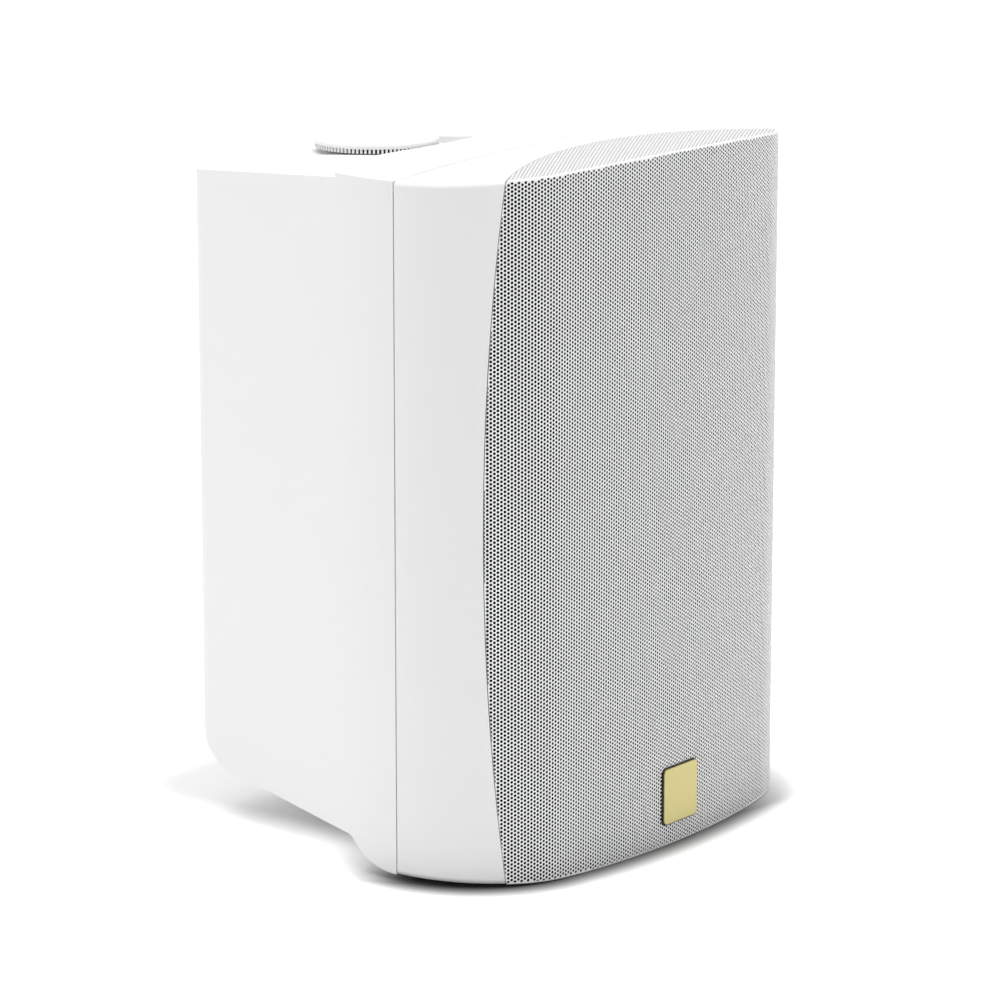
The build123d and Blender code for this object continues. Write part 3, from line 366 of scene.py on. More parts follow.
class Palette:
    """The finishes of this speaker, made once each."""

    # Name, colour, roughness, texture, scale, relief and spread
    FINISHES: tuple[Finish, ...] = (
        Finish("white_cabinet", grey(0.87), 0.46, Texture.GRAIN, 1500.0, 0.05, 0.008),
        Finish("white_grille", grey(0.95), 0.55, Texture.POWDER, 2400.0, 0.05, 0.01),
        Finish("dark_cloth", grey(0.006), 0.95, Texture.WEAVE, 500.0, 0.4, 0.4),
        Finish("gold_badge", (0.44, 0.39, 0.16), 0.34, Texture.BRUSHED, 2600.0, 0.06, metallic=0.65),
        Finish("dark_pad", grey(0.02), 0.9, Texture.FIBRE, 1800.0, 0.3, 0.3),
        Finish("seal_rubber", grey(0.012), 0.85, Texture.GRAIN, 1200.0, 0.2, 0.2),
        Finish("screw_steel", (0.6, 0.6, 0.62), 0.3, Texture.TURNED, 2500.0, metallic=1.0),
        Finish("basket_black", (0.025, 0.025, 0.026), 0.45, Texture.POWDER, 2000.0, 0.2, 0.2),
        Finish("plate_steel", grey(0.5), 0.35, Texture.BRUSHED, 1800.0, metallic=1.0),
        Finish("ferrite", (0.06, 0.06, 0.062), 0.6, Texture.GRAIN, 1500.0, 0.3, 0.25),
        Finish("surround_rubber", grey(0.018), 0.65, Texture.GRAIN, 900.0, 0.1, 0.2),
        Finish("spider_cloth", (0.55, 0.36, 0.12), 0.85, Texture.WEAVE, 450.0, 0.5, 0.25),
        Finish("cone_plastic", (0.03, 0.03, 0.032), 0.38, Texture.GRAIN, 700.0, 0.1, 0.2),
        Finish("coil_copper", (0.7, 0.32, 0.16), 0.3, Texture.WINDING, 600.0, 0.6, 0.2, metallic=1.0),
        Finish("dome_silk", (0.02, 0.02, 0.021), 0.6, Texture.WEAVE, 900.0, 0.3, 0.3, sheen=0.2),
        Finish("black_plastic", (0.022, 0.022, 0.023), 0.42, Texture.GRAIN, 1600.0, 0.15, 0.15),
        Finish("red_plastic", (0.5, 0.02, 0.018), 0.3, Texture.GRAIN, 1600.0, 0.06, 0.1, coat=0.3),
        Finish("bright_brass", (0.78, 0.58, 0.26), 0.22, Texture.TURNED, 2500.0, metallic=1.0),
        Finish("board_green", (0.02, 0.12, 0.05), 0.35, Texture.GRAIN, 800.0, 0.05, 0.2, coat=0.4),
        Finish("resistor_ceramic", (0.75, 0.74, 0.7), 0.8, Texture.GRAIN, 1200.0, 0.3, 0.08),
        Finish("wadding_wool", (0.82, 0.82, 0.78), 0.95, Texture.FIBRE, 400.0, 0.9, 0.12, sheen=0.3),
    )

    def __init__(self) -> None:
        """Build every finish."""
        self.made = {finish.name: finish.build() for finish in self.FINISHES}

    def dress(self, piece: bpy.types.Object, slot: str) -> None:
        """Give a piece the finish of a material slot."""
        piece.data.materials.clear()
        piece.data.materials.append(self.made[slot])


def mesh_piece(name: str, mesh_data: Mesh, smooth: bool = False) -> bpy.types.Object:
    """Put a quad mesh into the scene.

    Args:
        name: the piece's name.
        mesh_data: n by 3 places in metres, and m by 4 corner numbers, each turning outwards.
        smooth: whether faces shade smoothly.

    Returns:
        The new object at the origin.
    """
    points, quads = mesh_data
    mesh = bpy.data.meshes.new(name)
    mesh.vertices.add(len(points))
    mesh.vertices.foreach_set("co", points.astype(np.float32).ravel())
    mesh.loops.add(quads.size)
    mesh.loops.foreach_set("vertex_index", quads.astype(np.int32).ravel())
    mesh.polygons.add(len(quads))
    mesh.polygons.foreach_set("loop_start", np.arange(0, quads.size, 4, dtype=np.int32))
    mesh.polygons.foreach_set("use_smooth", np.full(len(quads), smooth))
    mesh.update(calc_edges=True)
    mesh.validate()
    piece = bpy.data.objects.new(name, mesh)
    bpy.context.scene.collection.objects.link(piece)
    return piece


def grid_of(x: Any, y: Any, z: Any) -> Array:
    """Grid of points from coordinates that broadcast together."""
    return np.stack(np.broadcast_arrays(x, y, z), axis=-1)


def grid_mesh(*grids: Array, flips: Sequence[bool] = (False,)) -> Mesh:
    """Join grids of points into one mesh, four neighbours to a quad.

    Args:
        grids: arrays of rows by columns by 3.
        flips: which grids' faces turn the other way; one value counts for all.

    Returns:
        Points and quads.
    """
    points, quads, start = [], [], 0
    for grid, flip in zip(grids, list(flips) * (len(grids) // len(flips))):
        rows, columns = grid.shape[:2]
        first = (np.arange(rows - 1)[:, None] * columns + np.arange(columns - 1)[None, :]).ravel() + start
        faces = np.stack([first, first + 1, first + columns + 1, first + columns], axis=1)
        quads.append(faces[:, ::-1] if flip else faces)
        points.append(grid.reshape(-1, 3))
        start += rows * columns
    return np.concatenate(points), np.concatenate(quads)


@dataclass
class FrontForm:
    """Outer form of the front section, in metres."""

    half_width: float = 120.5 * MM
    height: float = 305.4 * MM
    front_y: float = -98.7 * MM
    front_radius: float = 400.0 * MM
    corner_radius: float = 56.0 * MM
    crown_rise: float = 5.0 * MM
    base_rise: float = 3.0 * MM
    base_half: float = 50.0 * MM
    corner_x: float = 100.0 * MM
    top_sag: float = 24.6 * MM
    side_sag: float = 10.7 * MM

    def __post_init__(self) -> None:
        """Work out the arcs' centres and radii."""
        reach = self.front_radius - self.corner_radius
        self.corner_centre_x = self.half_width - self.corner_radius
        self.front_angle = math.asin(self.corner_centre_x / reach)
        self.front_centre_y = self.front_y + self.front_radius
        self.corner_centre_y = self.front_centre_y - reach * math.cos(self.front_angle)
        self.front_length = self.front_radius * self.front_angle
        self.crown_radius = (self.half_width**2 + self.crown_rise**2) / (2 * self.crown_rise)
        lift = self.half_width - self.base_half
        self.base_radius = (lift**2 + self.base_rise**2) / (2 * self.base_rise)
        turn = math.sqrt(self.corner_radius**2 - (self.corner_x - self.corner_centre_x) ** 2)
        self.side_y = self.corner_centre_y - turn + self.side_sag
        self.barrel_radius = (self.corner_x**2 + self.top_sag**2) / (2 * self.top_sag)
        self.stave_radius = ((self.height / 2) ** 2 + self.side_sag**2) / (2 * self.side_sag)

    def plan(self, along: Array, depth: Union[Array, float] = 0.0) -> tuple[Array, Array, Array, Array]:
        """Point of the plan curve at an arc length from the middle.

        The heading grows as length over the front radius up to the corner, then as length over the
        corner radius; the point is the arc's centre plus its radius less the depth times the normal.

        Args:
            along: arc lengths, negative to the left.
            depth: how far inside the outer curve.

        Returns:
            x, y and the outward normal's x and y.
        """
        side, length = np.sign(along), np.abs(along)
        in_front = length <= self.front_length
        beyond = (length - self.front_length) / self.corner_radius
        heading = np.where(in_front, length / self.front_radius, self.front_angle + beyond)
        normal_x, normal_y = np.sin(heading), -np.cos(heading)
        radius = np.where(in_front, self.front_radius, self.corner_radius) - depth
        centre_x = np.where(in_front, 0.0, self.corner_centre_x)
        centre_y = np.where(in_front, self.front_centre_y, self.corner_centre_y)
        x, y = side * (centre_x + radius * normal_x), centre_y + radius * normal_y
        return x, y, side * normal_x, normal_y

    def top(self, x: Array) -> Array:
        """Height of the crowned top: a circle's arch over x."""
        return self.height - self.crown_radius + np.sqrt(self.crown_radius**2 - x**2)

    def base(self, x: Array) -> Array:
        """Height of the base: flat in the middle, then an arc that lifts towards the sides."""
        out = np.maximum(np.abs(x) - self.base_half, 0.0)
        return self.base_radius - np.sqrt(self.base_radius**2 - out**2)

    def trim_y(self, x: Array, z: Array) -> Array:
        """Y of the barrel that trims the grille: an arc over x, turned about a far axis along X.

        Args:
            x: places across.
            z: heights.

        Returns:
            Y at each place.
        """
        pivot = self.side_y - self.stave_radius
        arc = np.sqrt(self.barrel_radius**2 - x**2)
        middle = self.side_y + self.top_sag - self.barrel_radius + arc
        return pivot + np.sqrt((middle - pivot) ** 2 - (z - self.height / 2) ** 2)


@dataclass
class PerforatedGrille:
    """White sheet with holes on a hexagonal lattice, wrapped over the front form.

    Cells are kept past the trim by a share of their reach, and holes by a share of their radius.
    """

    form: FrontForm = field(default_factory=FrontForm)
    pitch: float = 1.72 * MM
    hole_radius: float = 0.70 * MM
    closed_radius: float = 0.02 * MM
    sheet: float = 0.3 * MM
    cloth_depth: float = 0.8 * MM
    edge_depth: float = 1.2 * MM
    fold: float = 0.7 * MM
    rim: float = 0.1 * MM
    cell_overrun: float = 0.85
    hole_overrun: float = 0.3
    sides: int = 6
    bands: int = 5
    barrel_limit: float = 120.0 * MM
    arc_span: float = 1.3
    arc_samples: int = 1200
    level_samples: int = 241
    fold_samples: int = 1600
    fold_grid: tuple[int, int] = (9, 241)
    edge_samples: int = 161
    cloth_grid: tuple[int, int] = (81, 161)

    def __post_init__(self) -> None:
        """Work out a cell's reach, and the top's and the base's height with their inward sense."""
        self.cell_reach = self.pitch / math.sqrt(3)
        self.ends = ((self.form.top, -1.0), (self.form.base, 1.0))

    def side_reach(self, z: Array) -> Array:
        """Arc length at which the front surface meets the trimming barrel, for each height.

        The gap between surface and barrel is sampled along the arc, and its sign change is
        interpolated.

        Args:
            z: heights.

        Returns:
            The positive arc length of the side boundary.
        """
        longest = self.form.front_length + self.arc_span * self.form.corner_radius
        along = np.linspace(0.0, longest, self.arc_samples)
        x, y, _, _ = self.form.plan(along)
        levels = np.linspace(0.0, self.form.height, self.level_samples)
        gap = y[None, :] - self.form.trim_y(np.minimum(x, self.barrel_limit)[None, :], levels[:, None])
        last = np.argmax(gap > 0, axis=1)
        rows = np.arange(len(levels))
        low, high = gap[rows, last - 1], gap[rows, last]
        reach = along[last - 1] + (along[last] - along[last - 1]) * (-low) / (high - low)
        return np.interp(z, levels, reach)

    def widest(self) -> float:
        """Arc length of the side boundary at mid height."""
        return float(self.side_reach(np.array([self.form.height / 2]))[0])

    def front_limits(self, along: Array) -> tuple[Array, Array]:
        """Lowest and highest height of the front patch, where the folds begin."""
        x, _, _, _ = self.form.plan(along, self.fold)
        return self.form.base(x) + self.fold, self.form.top(x) - self.fold

    def lattice(self, across: Limits, along: Limits) -> tuple[Array, Array]:
        """Centres of a hexagonal lattice whose columns run along the second direction.

        Columns are pitch times root three over two apart, and every other one is shifted by half a
        pitch.

        Args:
            across: start and end across the columns.
            along: start and end along the columns.

        Returns:
            The centres' two coordinates.
        """
        step = self.pitch * math.sqrt(3) / 2
        columns = np.arange(math.floor(across[0] / step), math.ceil(across[1] / step) + 1)
        rows = np.arange(math.floor(along[0] / self.pitch) - 1, math.ceil(along[1] / self.pitch) + 2)
        column, row = np.meshgrid(columns, rows, indexing="ij")
        shift = 0.5 * np.mod(column, 2)
        return (column * step).ravel(), ((row + shift) * self.pitch).ravel()

    def cells(
        self,
        centre_a: Array,
        centre_b: Array,
        open_cell: Array,
        lay: Callable[[Array, Array, Array], Array],
        flip: bool = False,
    ) -> Mesh:
        """Sheet cells: a hexagon round each hole, the hole's rim, and its wall.

        Every cell is three rings of six points: the cell's corners, the hole's rim on the outer face
        half a step further round, and the rim one sheet thickness deeper. A closed cell has its rim
        shrunk to a point and no wall.

        Args:
            centre_a: lattice coordinate across the columns.
            centre_b: lattice coordinate along the columns.
            open_cell: which cells have a hole.
            lay: maps both coordinates and a depth to places in space.
            flip: whether the faces turn the other way.

        Returns:
            Points and quads.
        """
        step = FULL_TURN / self.sides
        ring = np.arange(self.sides)
        heading = np.stack([ring * step, (ring + 0.5) * step, (ring + 0.5) * step])
        rim = np.where(open_cell, self.hole_radius, self.closed_radius)
        radius = np.stack([np.full(len(rim), self.cell_reach), rim, rim], axis=1)[:, :, None]
        depth = np.array([0.0, 0.0, self.sheet])[None, :, None]
        a = centre_a[:, None, None] + radius * np.cos(heading)
        b = centre_b[:, None, None] + radius * np.sin(heading)
        points = lay(a, b, np.broadcast_to(depth, a.shape)).reshape(-1, 3)
        after = (ring + 1) % self.sides
        face = np.stack([ring, after, after + self.sides, ring + self.sides], axis=1)
        start = (heading.size * np.arange(len(rim)))[:, None, None]
        faces = (start + face).reshape(-1, 4)
        walls = (start[open_cell] + face + self.sides).reshape(-1, 4)
        quads = np.concatenate([faces, walls])
        return points, (quads[:, ::-1] if flip else quads)

    def front(self) -> tuple[Array, Array, Array]:
        """Lattice of the front patch.

        Returns:
            Arc lengths, heights and which cells are open.
        """
        along, z = self.lattice((-self.widest(), self.widest()), (0.0, self.form.height))
        low, high = self.front_limits(along)
        kept = np.abs(along) < self.side_reach(z) + self.cell_overrun * self.cell_reach
        kept &= (z > low - self.cell_reach) & (z < high + self.cell_reach)
        along, z, low, high = along[kept], z[kept], low[kept], high[kept]
        inside = np.abs(along) < self.side_reach(z) + self.hole_overrun * self.hole_radius
        return along, z, inside & (z > low + self.rim) & (z < high - self.rim)

    def lay_front(self, along: Array, z: Array, depth: Array) -> Array:
        """Place front coordinates on the form, held inside the side boundary and the folds.

        Args:
            along: arc lengths.
            z: heights.
            depth: how far inside the form.

        Returns:
            Places in space.
        """
        reach = self.side_reach(z)
        held = np.clip(along, -reach, reach)
        low, high = self.front_limits(held)
        x, y, _, _ = self.form.plan(held, depth)
        return grid_of(x, y, np.clip(z, low, high))

    def fold_line(self, x: Array) -> Array:
        """Front edge of the top and base, where they leave the fold.

        Args:
            x: places across.

        Returns:
            Y at each place.
        """
        longest = self.form.front_length + self.form.corner_radius
        along = np.linspace(-longest, longest, self.fold_samples)
        line_x, line_y, _, _ = self.form.plan(along, self.fold)
        return np.interp(x, line_x, line_y)

    def lens(self) -> tuple[Array, Array, Array]:
        """Lattice of the top and base patch in plan.

        Returns:
            x, y and which cells are open.
        """
        x, y = self.lattice((-self.form.corner_x, self.form.corner_x), (self.form.front_y, 0.0))
        front, back = self.fold_line(x), self.form.trim_y(x, self.form.top(x))
        ahead = front - self.cell_reach
        kept = (y > ahead) & (y < back + self.cell_overrun * self.cell_reach) & (back > ahead)
        x, y, front, back = x[kept], y[kept], front[kept], back[kept]
        return x, y, (y > front + self.rim) & (y < back + self.hole_overrun * self.hole_radius)

    def lens_limits(self, edge: Callable[[Array], Array], x: Array) -> tuple[Array, Array, Array]:
        """Height and limits of the top or base.

        Args:
            edge: the top's or the base's height over x.
            x: places across.

        Returns:
            Heights, and the y of the fold and of the trim.
        """
        z = edge(x)
        back = self.form.trim_y(x, z)
        return z, np.minimum(self.fold_line(x), back), back

    def lay_top(self, x: Array, y: Array, depth: Array) -> Array:
        """Place plan coordinates on the crowned top, held between the fold and the trim."""
        z, front, back = self.lens_limits(self.form.top, x)
        return grid_of(x, np.clip(y, front, back), z - depth)

    def lay_base(self, x: Array, y: Array, depth: Array) -> Array:
        """Place plan coordinates on the base, held between the fold and the trim."""
        z, front, back = self.lens_limits(self.form.base, x)
        return grid_of(x, np.clip(y, front, back), z + depth)

    def fold_strip(self, upper: bool) -> Mesh:
        """Quarter-round strip between the front and the top or base.

        A point is the inset plan curve plus the fold radius times the normal's cosine, raised by
        the fold radius times the sine; its ends stop at the trim.

        Args:
            upper: the top's fold, or else the base's.

        Returns:
            Points and quads.
        """
        rows, columns = self.fold_grid
        turn = np.linspace(0.0, QUARTER_TURN, rows)[:, None]
        share = np.linspace(-1.0, 1.0, columns)[None, :]
        edge, sense = self.ends[0 if upper else 1]
        reach = self.side_reach(np.array([self.form.height - self.fold if upper else self.fold]))
        x_out, y_out, normal_x, normal_y = self.form.plan(share * reach)
        inward = self.fold * (1.0 - np.cos(turn))
        x, y = x_out - inward * normal_x, y_out - inward * normal_y
        z = edge(x_out - self.fold * normal_x) + sense * self.fold * (1.0 - np.sin(turn))
        return grid_mesh(grid_of(x, np.minimum(y, self.form.trim_y(x, z)), z), flips=(not upper,))

    def edge_bands(self) -> Mesh:
        """Cut edges of the sheet along the side boundaries and behind the top and base lenses.

        Each is a strip from the sheet's outer face to the edge depth inside it.

        Returns:
            Points and quads.
        """
        depth = np.array([0.0, self.edge_depth])[:, None]
        z = np.linspace(self.fold, self.form.height - self.fold, self.edge_samples)[None, :]
        reach = self.side_reach(z)
        strips = []
        for side in (-1.0, 1.0):
            low, high = self.front_limits(side * reach)
            x, y, _, _ = self.form.plan(side * reach, depth)
            strips.append(grid_of(x, y, np.clip(z, low, high)))
        across = np.linspace(-self.form.corner_x, self.form.corner_x, self.edge_samples)[None, :]
        for edge, sense in self.ends:
            z_edge = edge(across)
            strips.append(grid_of(across, self.form.trim_y(across, z_edge), z_edge + sense * depth))
        return grid_mesh(*strips, flips=(False, True, False, True))

    def backing(self) -> Mesh:
        """Cloth behind the holes, out to the sheet's edges.

        The front is a grid over share of the side boundary and share of the height, one cloth depth
        inside the form. The top and base are grids over x and the share from the fold to the trim.

        Returns:
            Points and quads.
        """
        rows, columns = self.cloth_grid
        share = np.linspace(-1.0, 1.0, columns)[None, :]
        level = np.linspace(0.0, 1.0, rows)[:, None]
        z = self.form.height * level
        reach = self.side_reach(np.clip(z, self.fold, self.form.height - self.fold))
        x, y, _, _ = self.form.plan(share * reach, self.cloth_depth)
        low, high = self.form.base(x) + self.cloth_depth, self.form.top(x) - self.cloth_depth
        grids = [grid_of(x, y, np.clip(z, low, high))]
        across = self.form.corner_x * share
        for edge, sense in self.ends:
            z_edge, front, back = self.lens_limits(edge, across)
            y = front + level * (back - front)
            grids.append(grid_of(across, y, z_edge + sense * self.cloth_depth))
        return grid_mesh(*grids)

    def build(self, palette: Palette) -> list[bpy.types.Object]:
        """Make the sheet in bands, its top and base, its folds, its cut edges and the cloth.

        Args:
            palette: the finishes.

        Returns:
            The pieces, all riding on the case.
        """
        pieces = []
        along, z, open_cell = self.front()
        edges = np.linspace(-1.0, 1.0, self.bands + 1)
        band = np.searchsorted(edges, along / self.widest(), side="right") - 1
        band = np.clip(band, 0, self.bands - 1)
        for index in range(self.bands):
            held = band == index
            sheet = self.cells(along[held], z[held], open_cell[held], self.lay_front)
            pieces.append(mesh_piece(f"grille_front_{index + 1}", sheet))
        lens = self.lens()
        pieces.append(mesh_piece("grille_top", self.cells(*lens, self.lay_top)))
        pieces.append(mesh_piece("grille_base", self.cells(*lens, self.lay_base, flip=True)))
        pieces.append(mesh_piece("grille_fold_top", self.fold_strip(True), smooth=True))
        pieces.append(mesh_piece("grille_fold_base", self.fold_strip(False), smooth=True))
        pieces.append(mesh_piece("grille_cut_edges", self.edge_bands()))
        for piece in pieces:
            palette.dress(piece, "white_grille")
            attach(piece, "case")
            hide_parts("grille")
        cloth = mesh_piece("grille_backing", self.backing(), smooth=True)
        palette.dress(cloth, "dark_cloth")
        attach(cloth, "case")
        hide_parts("grille_cloth")
        return [*pieces, cloth]


@dataclass
class TopKnob:
    """White clamping knob on the top: crowned cap, square-cut teeth, and painted shade as a dark ring in
    their gaps.

    The tooth phases are where a tooth starts, ends, and its gap starts and ends, as shares of a pitch.
    """

    axis_y: float = 68.5 * MM
    seat_z: float = 291.05 * MM
    teeth_z: float = 293.2 * MM
    rim_z: float = 295.2 * MM
    crown_z: float = 297.5 * MM
    crown: float = 1.2 * MM
    radius: float = 28.0 * MM
    tip_radius: float = 27.8 * MM
    gap_radius: float = 26.0 * MM
    gap_shade_radius: float = 26.6 * MM
    neck_radius: float = 9.0 * MM
    bore_radius: float = 4.05 * MM
    bore_depth: float = 2.95 * MM
    rounding: float = 1.5 * MM
    teeth: int = 92
    tooth_phases: tuple[float, ...] = (0.0, 0.47, 0.5, 0.97)
    round_samples: int = 7
    crown_samples: int = 9
    gap_shade_samples: int = 181

    def profile(self) -> tuple[Array, Array, Array]:
        """The cap's outline, from its bore up to the crown's middle.

        Returns:
            Radius, height and tooth share.
        """
        turn = np.linspace(0.0, QUARTER_TURN, self.round_samples)
        flat = self.radius - self.rounding
        round_r = flat + self.rounding * np.cos(turn)
        round_z = self.crown_z - self.rounding + self.rounding * np.sin(turn)
        crown_r = np.linspace(flat, 0.0, self.crown_samples)[1:]
        crown_z = self.crown_z + self.crown * (1.0 - (crown_r / flat) ** 2)
        low_r = [0.0, self.bore_radius, self.bore_radius, self.neck_radius, self.neck_radius]
        low_z = [self.seat_z + self.bore_depth] * 2 + [self.seat_z] * 2 + [self.teeth_z]
        tooth_r, tooth_z = [self.tip_radius] * 2, [self.teeth_z, self.rim_z]
        radius = np.concatenate([low_r, tooth_r, [self.radius], round_r, crown_r])
        height = np.concatenate([low_z, tooth_z, [self.rim_z], round_z, crown_z])
        share = np.zeros(len(radius))
        share[len(low_r) : len(low_r) + len(tooth_r)] = 1.0
        return radius, height, share

    def cap(self) -> Mesh:
        """The cap: its profile turned about the axis.

        On the two tooth rows the radius falls by the tooth's depth over half of every pitch, as a
        square wave of the angle.

        Returns:
            Points and quads.
        """
        radius, height, share = (row[:, None] for row in self.profile())
        steps = (np.arange(self.teeth)[:, None] + np.array(self.tooth_phases)).ravel()
        angle = np.append(steps, self.teeth) * FULL_TURN / self.teeth
        gap = np.append(np.tile([0.0, 0.0, 1.0, 1.0], self.teeth), 0.0)
        reach = radius - share * gap * (self.tip_radius - self.gap_radius)
        return grid_mesh(grid_of(reach * np.cos(angle), self.axis_y + reach * np.sin(angle), height))

    def ring(self) -> Mesh:
        """Painted shade in the tooth gaps: a dark upright band of one radius about the axis.

        Returns:
            Points and quads.
        """
        angle = np.linspace(0.0, FULL_TURN, self.gap_shade_samples)[None, :]
        height = np.array([self.teeth_z, self.rim_z])[:, None]
        x, y = self.gap_shade_radius * np.cos(angle), self.axis_y + self.gap_shade_radius * np.sin(angle)
        return grid_mesh(grid_of(x, y, height))

    def build(self, palette: Palette) -> list[bpy.types.Object]:
        """Make the cap and the ring of painted shade, both riding on the knob.

        Args:
            palette: the finishes.

        Returns:
            The two pieces.
        """
        cap = mesh_piece("top_knob_cap", self.cap())
        ring = mesh_piece("top_knob_painted_gap_shade", self.ring(), smooth=True)
        # The ring is painted shade: a dark band in the rubber finish that fills the gaps between the
        # teeth
        for piece, slot in ((cap, "white_cabinet"), (ring, "seal_rubber")):
            palette.dress(piece, slot)
            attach(piece, "top_knob")
        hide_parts("top_knob")
        return [cap, ring]


@dataclass
class BadgePad:
    """Dark pad behind the gold plate, a little wider than the plate so that its edge shows."""

    middle_z: float = 22.5 * MM
    half: float = 12.95 * MM
    corner: float = 2.6 * MM
    front_y: float = -99.3 * MM
    back_y: float = -98.3 * MM
    corner_samples: int = 7

    def shell(self) -> Mesh:
        """Closed pad: a rounded square carried from front to back.

        A point of the outline is its corner's centre plus the corner radius along its heading; the
        rows run from the front's middle over both outlines to the back's middle.

        Returns:
            Points and quads.
        """
        quarter = np.arange(4)[:, None] * QUARTER_TURN
        heading = np.linspace(0.0, QUARTER_TURN, self.corner_samples)[None, :] + quarter
        diagonal = quarter + QUARTER_TURN / 2
        inner = (self.half - self.corner) * math.sqrt(2.0)
        x = (inner * np.cos(diagonal) + self.corner * np.cos(heading)).ravel()
        z = (inner * np.sin(diagonal) + self.corner * np.sin(heading)).ravel()
        x, z = np.append(x, x[0]), np.append(z, z[0])
        size = np.array([0.0, 1.0, 1.0, 0.0])[:, None]
        depth = np.array([self.front_y, self.front_y, self.back_y, self.back_y])[:, None]
        return grid_mesh(grid_of(size * x, depth, self.middle_z + size * z), flips=(True,))

    def build(self, palette: Palette) -> list[bpy.types.Object]:
        """Make the pad, riding on the case.

        Args:
            palette: the finishes.

        Returns:
            The one piece.
        """
        piece = mesh_piece("badge_pad_edge", self.shell())
        palette.dress(piece, "dark_pad")
        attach(piece, "case")
        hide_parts("badge_pad")
        return [piece]


class Section(Enum):
    """Cross-section of a driver's suspension."""

    ROLL = "roll"
    FOLDS = "folds"


@dataclass
class Suspension:
    """Soft ring that joins a driver's moving part to its frame."""

    node: str
    body: str
    slot: str
    section: Section
    axis_z: float
    base_y: float
    inner: float
    outer: float
    still: float
    rise: float
    thickness: float
    folds: int = 5
    fold_samples: int = 12
    roll_samples: int = 25
    lip_samples: int = 3
    turn_samples: int = 121

    def middle_line(self) -> tuple[Array, Array]:
        """Radius and y along the ring's middle surface, from its inner to its outer edge.

        A roll is half a circle from the inner edge and then a flat lip; folds are a cosine wave
        between the inner edge and the lip.

        Returns:
            Radii and y.
        """
        lip = np.linspace(self.still, self.outer, self.lip_samples + 1)[1:]
        if self.section is Section.ROLL:
            turn = np.linspace(math.pi, 0.0, self.roll_samples)
            half = (self.still - self.inner) / 2
            radius = self.inner + half + half * np.cos(turn)
            y = self.base_y - self.rise * np.sin(turn)
        else:
            radius = np.linspace(self.inner, self.still, self.fold_samples * self.folds + 1)
            wave = FULL_TURN * self.folds * (radius - self.inner) / (self.still - self.inner)
            y = self.base_y - self.rise * (1.0 - np.cos(wave)) / 2
        return np.append(radius, lip), np.append(y, np.full(len(lip), self.base_y))

    def shell(self) -> Mesh:
        """Closed ring: the middle line moved half a thickness to both sides, turned about the axis.

        Returns:
            Points and quads.
        """
        radius, y = self.middle_line()
        slope_r, slope_y = np.gradient(radius), np.gradient(y)
        size = np.hypot(slope_r, slope_y)
        off_r, off_y = -slope_y / size * self.thickness / 2, slope_r / size * self.thickness / 2
        loop_r = np.concatenate([radius + off_r, (radius - off_r)[::-1], (radius + off_r)[:1]])[:, None]
        loop_y = np.concatenate([y + off_y, (y - off_y)[::-1], (y + off_y)[:1]])[:, None]
        angle = np.linspace(0.0, FULL_TURN, self.turn_samples)[None, :]
        grid = grid_of(loop_r * np.cos(angle), loop_y, self.axis_z + loop_r * np.sin(angle))
        return grid_mesh(grid, flips=(True,))

    def build(self, palette: Palette) -> bpy.types.Object:
        """Make the ring.

        Args:
            palette: the finishes.

        Returns:
            The piece.
        """
        points, quads = self.shell()
        piece = mesh_piece(f"{self.node}_ring", (points, quads), smooth=True)
        palette.dress(piece, self.slot)
        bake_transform(piece)
        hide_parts(self.node)
        return piece


@dataclass
class Drivers:
    """The woofer's and the tweeter's soft rings."""

    woofer_z: float = 113.92 * MM
    tweeter_z: float = 240.92 * MM

    def build(self, palette: Palette) -> list[bpy.types.Object]:
        """Make the woofer's surround and spider and the tweeter's surround.

        Args:
            palette: the finishes.

        Returns:
            The three pieces.
        """
        woofer_surround = Suspension(
            "woofer_surround", "woofer_cone", "surround_rubber", Section.ROLL, self.woofer_z,
            base_y=-81.4 * MM, inner=58.5 * MM, outer=74.1 * MM, still=70.9 * MM,
            rise=6.2 * MM, thickness=0.8 * MM,
        )
        woofer_spider = Suspension(
            "woofer_spider", "woofer_cone", "spider_cloth", Section.FOLDS, self.woofer_z,
            base_y=-53.3 * MM, inner=18.9 * MM, outer=54.4 * MM, still=44.7 * MM,
            rise=1.6 * MM, thickness=0.6 * MM,
        )
        tweeter_surround = Suspension(
            "tweeter_surround", "tweeter_dome", "surround_rubber", Section.ROLL, self.tweeter_z,
            base_y=-69.8 * MM, inner=12.8 * MM, outer=17.4 * MM, still=14.1 * MM,
            rise=0.65 * MM, thickness=0.4 * MM,
        )
        rings = (woofer_surround, woofer_spider, tweeter_surround)
        return [ring.build(palette) for ring in rings]


@dataclass(frozen=True)
class Lamp:
    """Square soft lamp that looks at a point, with its side in metres and its power in watts."""

    name: str
    place: Triple
    aim: Triple
    size: float
    power: float

    def build(self) -> bpy.types.Object:
        """Put the lamp into the scene.

        Returns:
            The lamp.
        """
        data = bpy.data.lights.new(self.name, "AREA")
        data.shape = "SQUARE"
        data.size = self.size
        data.energy = self.power
        piece = bpy.data.objects.new(self.name, data)
        direction = Vector(self.aim) - Vector(self.place)
        piece.rotation_euler = direction.to_track_quat("-Z", "Y").to_euler()
        piece.location = self.place
        bpy.context.scene.collection.objects.link(piece)
        return piece


